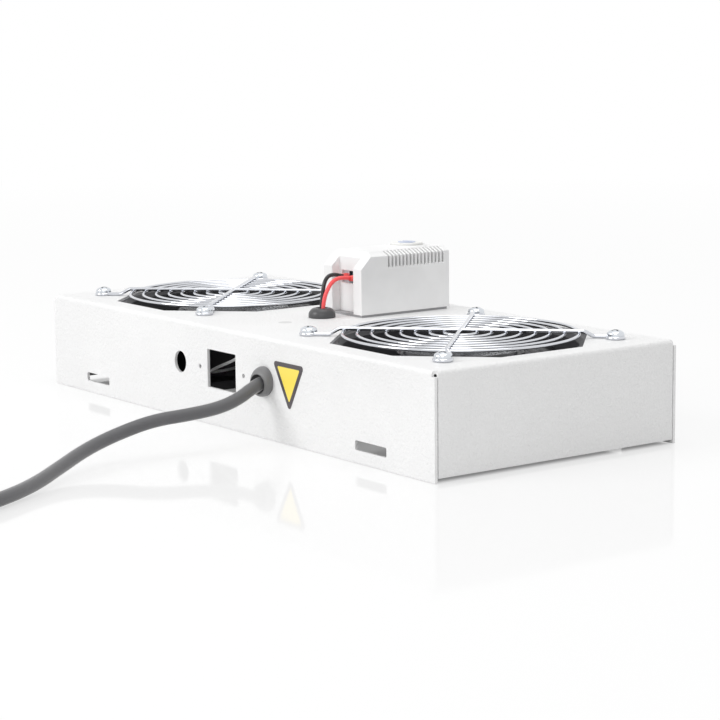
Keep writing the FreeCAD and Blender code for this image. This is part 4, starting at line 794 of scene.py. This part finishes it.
def screw_form():
    """A screw without its recess, with its head's seat at zero."""
    rim = 1.0 * MM
    edge = 0.15 * MM
    profile = [(0.0, -SCREW_LENGTH), (SHANK_RADIUS - 0.4 * MM, -SCREW_LENGTH),
               (SHANK_RADIUS, -SCREW_LENGTH + 0.6 * MM), (SHANK_RADIUS, 0.0),
               (HEAD_RADIUS - edge, 0.0), (HEAD_RADIUS, edge)]
    profile += arc((0.0, rim), (HEAD_RADIUS, HEAD_HEIGHT - rim), 0, 90, 10)[:-1]
    profile += [(0.0, HEAD_HEIGHT)]
    tool = turned(profile, 40)
    bmesh.ops.recalc_face_normals(tool, faces=tool.faces)
    mesh = bpy.data.meshes.new("screw_form")
    tool.to_mesh(mesh)
    tool.free()
    form = bpy.data.objects.new("screw_form", mesh)
    bpy.context.scene.collection.objects.link(form)
    return form


def screw_recipe(form):
    """Four screws on a square, each with its recess and its own turn."""
    recipe = Recipe("fan_screws", Form=form, Pitch=SCREW_PITCH, Recess_Length=4.4 * MM,
                    Recess_Width=0.9 * MM, Recess_Depth=1.5 * MM, Head=HEAD_HEIGHT, Seed=SEED,
                    Middle=Vector((0.0, 0.0, HEAD_SEAT)), Finish=NICKEL)
    head = recipe.node("GeometryNodeObjectInfo", {}, {"Object": recipe.given("Form")},
                       "Geometry")
    size = recipe.vector(recipe.given("Recess_Length"), recipe.given("Recess_Width"),
                         recipe.given("Recess_Depth") * 2.0)
    blade = recipe.moved(recipe.node("GeometryNodeMeshCube", {}, {"Size": size}),
                         z=recipe.given("Head"))
    other = recipe.moved(blade, turn=math.pi / 2)
    cross = recipe.node("GeometryNodeMeshBoolean", {"operation": "UNION"}, {"Mesh 2": blade})
    recipe.tree.links.new(other.socket, cross.socket.node.inputs["Mesh 2"])
    cut = recipe.node("GeometryNodeMeshBoolean", {"operation": "DIFFERENCE"},
                      {"Mesh 1": head, "Mesh 2": cross})
    pitch = recipe.given("Pitch")
    grid = recipe.node("GeometryNodeMeshGrid", {}, {"Size X": pitch, "Size Y": pitch,
                                                    "Vertices X": 2, "Vertices Y": 2})
    chance = recipe.node("FunctionNodeRandomValue", {"data_type": "FLOAT"},
                         {2: 0.0, 3: math.pi, "Seed": recipe.given("Seed")}, 1)
    placed = recipe.node("GeometryNodeInstanceOnPoints", {},
                         {"Points": grid, "Instance": cut, "Rotation": recipe.vector(z=chance)})
    recipe.finish(recipe.carried(placed, recipe.given("Middle")), recipe.given("Finish"))
    return recipe


screw = screw_form()
fan_screws = screw_recipe(screw)
for side, sign in SIDES.items():
    mesh = fan_screws.made("pan_head_screws_" + side, Seed=SEED + sign,
                           Middle=Vector((sign * FAN_PITCH / 2, 0.0, HEAD_SEAT)))
    mesh.set_sharp_from_angle(angle=math.radians(34))
    link(mesh.name, mesh, NICKEL, "root", "nickel_screw", "fan_screws_" + side)
    print(mesh.name, "faces", len(mesh.polygons))
bpy.data.objects.remove(screw)

# %% [markdown]
# Two rubber bushes snap into holes in the sheet, so that no wire rubs on a cut edge. The one
# for the thermostat's leads is a low dome with a groove round its neck, turned from a profile.

# %% The leads' bush
SHEET = 1.5 * MM
LEAD_HOLE = mm(0, -11, 50)


def lead_bush():
    """The low bush in the pan's top, with a groove that the sheet sits in."""
    outer = 7.0 * MM
    bore = 2.3 * MM
    neck = 4.65 * MM
    dome = 5.0 * MM
    rim = 1.1 * MM
    crown = 3.4 * MM
    inside = -4.0 * MM
    profile = [(bore, inside), (outer - 1.4 * MM, inside + 0.6 * MM),
               (outer - 0.3 * MM, -SHEET - 0.9 * MM), (outer - 0.5 * MM, -SHEET), (neck, -SHEET),
               (neck, 0.0), (outer - 0.2 * MM, 0.02 * MM), (outer, 0.3 * MM), (outer, rim)]
    profile += arc((crown, rim), (outer - crown, dome - rim), 8, 90, 9)
    profile += [(3.1 * MM, dome - 0.15 * MM), (2.7 * MM, dome - 1.3 * MM), (bore, dome - 1.5 * MM),
                (bore, inside)]
    tool = turned(profile, 56)
    bmesh.ops.remove_doubles(tool, verts=tool.verts, dist=MERGE)
    bmesh.ops.recalc_face_normals(tool, faces=tool.faces)
    bmesh.ops.translate(tool, verts=tool.verts, vec=LEAD_HOLE)
    return link("leads_bush", finished(tool, "leads_bush", sharp=50), LEAD_BUSH_RUBBER, "root",
                "bush_rubber", "lead_bush")


pan_bush = lead_bush()
print("bush:", pan_bush.name)

# %% [markdown]
# The mains lead's bush is a taller dome with a wide mouth, and the weight of the lead has
# pulled it to one side: its turned shape is bent by moving each ring sideways with the square
# of its distance from the wall, and by leaning the mouth.

# %% The mains lead's bush
WALL_FACE = -73.0 * MM
BUSH_X = 39.0 * MM
HOLE_LEVEL = 28.5 * MM
# How far the lead has pulled the mouth, along the wall and up
PULL = Vector((1.7 * MM, -0.8 * MM))
# The slope of the mouth, which leans back to the wall on the side that the lead pulls to
TILT = 0.16


def cord_bush():
    """The tall bush in the front wall, bent by its lead."""
    flange = 7.4 * MM
    mouth = 5.2 * MM
    throat = 4.7 * MM
    reach = 5.6 * MM
    bore = 3.3 * MM
    neck = 5.5 * MM
    inside = -4.5 * MM
    crown = mouth - 1.1 * MM
    shoulder = 1.4 * MM
    profile = [(bore, inside), (flange - 1.6 * MM, inside + 0.3 * MM),
               (flange - 0.6 * MM, -SHEET - 0.5 * MM), (flange - 0.8 * MM, -SHEET), (neck, -SHEET),
               (neck, 0.0), (flange - 0.2 * MM, 0.02 * MM), (flange, 0.3 * MM), (flange, 1.2 * MM)]
    profile += arc((crown, shoulder), (flange - crown, reach - shoulder), 6, 70, 11)
    profile += [(mouth, reach), (mouth - 0.35 * MM, reach + 0.05 * MM), (throat, reach - 0.5 * MM),
                (throat - 0.2 * MM, reach * 0.45), (bore, 0.0), (bore, inside)]
    tool = turned(profile, 64)
    bmesh.ops.remove_doubles(tool, verts=tool.verts, dist=MERGE)
    bmesh.ops.recalc_face_normals(tool, faces=tool.faces)
    for vertex in tool.verts:
        out = max(vertex.co.z, 0.0)
        share = (out / reach) ** 2
        side, up = vertex.co.x, -vertex.co.y
        tilt = TILT * side * share
        vertex.co = Vector((BUSH_X + side + PULL.x * share, WALL_FACE - vertex.co.z + tilt,
                            HOLE_LEVEL + up + PULL.y * share))
    return link("mains_lead_bush", finished(tool, "mains_lead_bush", sharp=50), BUSH_RUBBER, "root",
                "bush_rubber", "cord_bush")


wall_bush = cord_bush()
print("bush:", wall_bush.name)

# %% [markdown]
# The two single leads come up through their bush, stand in a short arch and end in collars at
# the thermostat's clamps. Under the pan they go on to the terminal block. The left fan's lead,
# seen through the cut-out, ends there too. Each is one smooth curve led close to the frame's
# solid and turned into a mesh, because the object holds it at both ends.

# %% Leads
LEAD_DIAMETER = 2.1 * MM
FAN_LEAD_DIAMETER = 1.6 * MM
RED_LEAD = [mm(4.5, 10.6, 69.3), mm(4.5, 6.5, 69.3), mm(3.9, 2.5, 69.6), mm(2.9, -1.6, 70.2),
            mm(2.2, -5.6, 68.6), mm(1.7, -8.4, 64.8), mm(1.3, -10.4, 60), mm(1.15, -11.2, 54),
            mm(1.15, -11, 46), mm(2.2, -12.5, 41.4), mm(6, -18, 40.8), mm(8, -25, 41), mm(8, -31.7, 41)]
BLACK_LEAD = [mm(-4.5, 10.6, 69.3), mm(-4.5, 6.5, 69.4), mm(-3.6, 2.2, 70.6), mm(-2.7, -2.5, 71.3),
              mm(-2.0, -6.2, 70.4), mm(-1.5, -8.6, 67.0), mm(-1.2, -9.5, 62.4), mm(-1.2, -10.4, 56),
              mm(-1.15, -11, 46), mm(-3, -12.5, 41.4), mm(-9, -18, 40.8), mm(-12, -25, 41),
              mm(-12, -31.7, 41)]
FAN_LEAD = [mm(-46.3, -25, 22), mm(-43, -34, 21), mm(-41, -47, 20.5), mm(-37, -56, 21.3),
            mm(-29, -60, 24.1), mm(-19, -60.4, 27.8), mm(-9, -60, 31.2), mm(-3.5, -57.5, 35),
            mm(-8, -55, 40.3), mm(-12, -50, 41), mm(-12, -40.3, 41)]


def lead(name, points, material, slot, node, diameter=LEAD_DIAMETER):
    """A smooth wire along its points, which stands for a node."""
    curve = round_curve(name + "_line", points, diameter, order=4, roundness=3)
    mesh = baked(curve, name)
    mesh.polygons.foreach_set("use_smooth", [True] * len(mesh.polygons))
    return link(name, mesh, material, "root", slot, node)


lead("red_lead", RED_LEAD, RED_INSULATION, "red_insulation", "lead_red")
lead("black_lead", BLACK_LEAD, BLACK_INSULATION, "black_insulation", "lead_black")
lead("left_fan_lead", FAN_LEAD, GREY_INSULATION, "grey_insulation", "fan_lead_left",
     FAN_LEAD_DIAMETER)
print("leads:", len(RED_LEAD), len(BLACK_LEAD), len(FAN_LEAD), "points")

# %% [markdown]
# On the front wall sits a small vinyl sticker: a plain triangle with its point down, yellow in
# a grey edge, and nothing on it. It is cut as two thin plates with rounded corners, the field
# a hair proud of the edge, so that it has a real thickness where it catches the light.

# %% Blank sticker
# Its corners before rounding, along the wall and up, in millimetres
STICKER = [(46.3, 39.6), (72.6, 39.6), (59.9, 16.0)]
EDGE_CORNER = 1.5


def rounded_triangle(inset, corner, steps=6):
    """The outline moved in by so much, with round corners, as points on the wall."""
    middle = Vector((sum(x for x, z in STICKER) / 3, sum(z for x, z in STICKER) / 3))
    points = []
    count = len(STICKER)
    for index in range(count):
        spot = Vector(STICKER[index])
        back = (Vector(STICKER[index - 1]) - spot).normalized()
        ahead = (Vector(STICKER[(index + 1) % count]) - spot).normalized()
        inward = (back + ahead).normalized()
        half = inward.angle(ahead)
        centre = spot + inward * ((inset + corner) / math.sin(half))
        first = centre - inward * corner
        start = math.atan2(*(first - centre).yx)
        sweep = math.pi / 2 - half
        onward = Vector(STICKER[(index + 1) % count]) - middle
        sign = 1 if (spot - middle).cross(onward) > 0 else -1
        for step in range(steps + 1):
            angle = start + sign * sweep * (2 * step / steps - 1)
            points.append(centre + Vector((math.cos(angle), math.sin(angle))) * corner)
    return points


def sticker_plate(name, inset, corner, low, high, material):
    """One thin plate on the wall, between two heights above it in millimetres."""
    tool = bmesh.new()
    outline = rounded_triangle(inset, corner)
    face = tool.faces.new([tool.verts.new((x * MM, WALL_FACE - low * MM, z * MM)) for x, z in outline])
    grown = bmesh.ops.extrude_face_region(tool, geom=[face])
    risen = [item for item in grown["geom"] if isinstance(item, bmesh.types.BMVert)]
    bmesh.ops.translate(tool, verts=risen, vec=(0.0, (low - high) * MM, 0.0))
    bmesh.ops.recalc_face_normals(tool, faces=tool.faces)
    return link(name, finished(tool, name, sharp=30, rounding=0.03 * MM), material, "root",
                "off_white_plastic")


print("points round the sticker:", len(rounded_triangle(0.0, EDGE_CORNER)))

# %% [markdown]
# The grey plate is the whole triangle and the yellow one is set in by the width of the edge.
# Both have a tiny bevel, so that their rims catch a thin line of light as cut vinyl does.

# %% Put the sticker on
EDGE_WIDTH = 2.2
FIELD_CORNER = 0.5
sticker_plate("sticker_edge", 0.0, EDGE_CORNER, 0.01, 0.16, STICKER_GREY)
sticker_plate("sticker_field", EDGE_WIDTH, FIELD_CORNER, 0.02, 0.20, STICKER_YELLOW)
print("sticker corners:", len(STICKER))

# %% [markdown]
# The plug is a moulded straight plug with two round pins. Its body and pins come from the
# frame. They lie outside the picture, but are dressed with the same care.

# %% Plug
plug = dress("plug_body", PLUG_PLASTIC, sharp=30)
contacts = dress("plug_contacts", BRASS, sharp=30)

# %% [markdown]
# The stage is a pale glossy sweep and soft light from large panels. Seen directly, the floor
# and the world are white, as in a light tent; what falls on the tray is set lower, so that the
# white paint keeps its shading. The floor still takes the tray's shadow and a faint mirror
# image of its front. Its glow is painted down under the tray and rises again just past the
# walls: a painted shade, so that the slots look into shade.

# %% Floor
FLOOR_DROP = 0.3 * MM
FLOOR_SIZE = 14.0
# How much of what the camera sees of the floor glows by itself: under the tray, where less glow is
# painted shade, and around it
GLOW_IN_PAINTED_SHADE = 0.20
AROUND_TRAY = 0.6
# How far inside the walls the painted shade is darkest, and how far from the middle the floor turns all
# white
PAINTED_SHADE_INSET = 7.0 * MM
WHITE_FROM = 0.4
WHITE_TO = 1.6


def seen_directly(nodes):
    """1 for rays from the camera and for mirrored or refracted ones, 0 for light on surfaces."""
    path = nodes.node("ShaderNodeLightPath")
    outputs = path.socket.node.outputs
    camera = Signal(nodes, outputs["Is Camera Ray"])
    glossy = Signal(nodes, outputs["Is Glossy Ray"])
    clear = Signal(nodes, outputs["Is Transmission Ray"])
    either = nodes.node("ShaderNodeMath", {"operation": "MAXIMUM"}, {0: camera, 1: glossy})
    return nodes.node("ShaderNodeMath", {"operation": "MAXIMUM"}, {0: either, 1: clear})


def lay_floor():
    """A large glossy plane just under the tray; its glow is painted down beneath the tray as shade."""
    finish = Finish("floor", Base_Color=tone(240, 240, 240), Roughness=0.06, Specular_IOR_Level=0.5)
    glow = finish.node("ShaderNodeEmission")
    where = finish.node("ShaderNodeTexCoord", output="Object")
    away = finish.node("ShaderNodeVectorMath", {"operation": "LENGTH"}, {0: where}, 1)
    far = finish.node("ShaderNodeMapRange", {}, {"Value": away, "From Min": WHITE_FROM,
                                                 "From Max": WHITE_TO})
    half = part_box("tray_shell")[1]
    place = finish.node("ShaderNodeSeparateXYZ", {}, {"Vector": where})
    across = Signal(finish, place.socket.node.outputs["Y"])
    past_end = finish.node("ShaderNodeMath", {"operation": "ABSOLUTE"}, {0: place}) - half[0]
    past_side = finish.node("ShaderNodeMath", {"operation": "ABSOLUTE"}, {0: across}) - half[1]
    past = finish.node("ShaderNodeMath", {"operation": "MAXIMUM"}, {0: past_end, 1: past_side})
    # Painted shade: inside the walls the floor's glow falls from its share around the tray to its share
    # under it
    beside = finish.node("ShaderNodeMapRange", {"interpolation_type": "SMOOTHSTEP"},
                         {"Value": past, "From Min": -PAINTED_SHADE_INSET, "From Max": 0.5 * MM})
    glow_with_painted_shade = GLOW_IN_PAINTED_SHADE + (AROUND_TRAY - GLOW_IN_PAINTED_SHADE) * beside + (1.0 - AROUND_TRAY) * far
    share = seen_directly(finish) * glow_with_painted_shade
    mixed = finish.node("ShaderNodeMixShader", {}, {0: share})
    mix = mixed.socket.node
    finish.tree.links.new(finish.shader.outputs[0], mix.inputs[1])
    finish.tree.links.new(glow.socket, mix.inputs[2])
    surface = finish.tree.nodes["Material Output"].inputs["Surface"]
    finish.tree.links.new(mix.outputs[0], surface)
    bpy.ops.mesh.primitive_plane_add(size=FLOOR_SIZE, location=(0, 0, -FLOOR_DROP))
    floor = bpy.context.object
    floor.name = "floor"
    floor.data.materials.append(finish.material)
    return floor.name


print("laid:", lay_floor())

# %% [markdown]
# The world gives the even light of a tent and is pure white where the camera or a mirror looks
# into it. Three round panels shape the tray: a key from the left front, a weak fill from the
# right front, and one overhead.

# %% World and lamps
WORLD_ON_THINGS = 0.66
# Each lamp's place, what it points at, its diameter and its watts
LAMPS = {
    "key": ((-0.6, -1.8, 1.1), (0.0, 0.0, 0.03), 1.2, 18.5),
    "fill": ((1.5, -1.3, 0.9), (0.0, 0.0, 0.03), 1.2, 5.0),
    "top": ((0.1, 0.1, 1.8), (0.0, 0.0, 0.0), 1.4, 9.0),
}


def light_world():
    """White where it is seen, and weaker where it falls on things."""
    world = bpy.data.worlds.new("world")
    bpy.context.scene.world = world
    world.use_nodes = True
    nodes = Nodes(world.node_tree)
    direct = seen_directly(nodes)
    strength = direct * (1.0 - WORLD_ON_THINGS) + WORLD_ON_THINGS
    back = world.node_tree.nodes["Background"]
    back.inputs["Color"].default_value = (1.0, 1.0, 1.0, 1.0)
    world.node_tree.links.new(strength.socket, back.inputs["Strength"])


def lamp(name, place, aim, size, power):
    """A soft round panel."""
    data = bpy.data.lights.new(name, "AREA")
    data.shape = "DISK"
    data.size = size
    data.energy = power
    made = bpy.data.objects.new(name, data)
    bpy.context.scene.collection.objects.link(made)
    made.location = place
    made.rotation_euler = (Vector(aim) - Vector(place)).to_track_quat("-Z", "Y").to_euler()


light_world()
for name, (place, aim, size, power) in LAMPS.items():
    lamp(name, place, aim, size, power)
bpy.context.scene.view_settings.view_transform = "Standard"
print("lamps:", len(LAMPS))
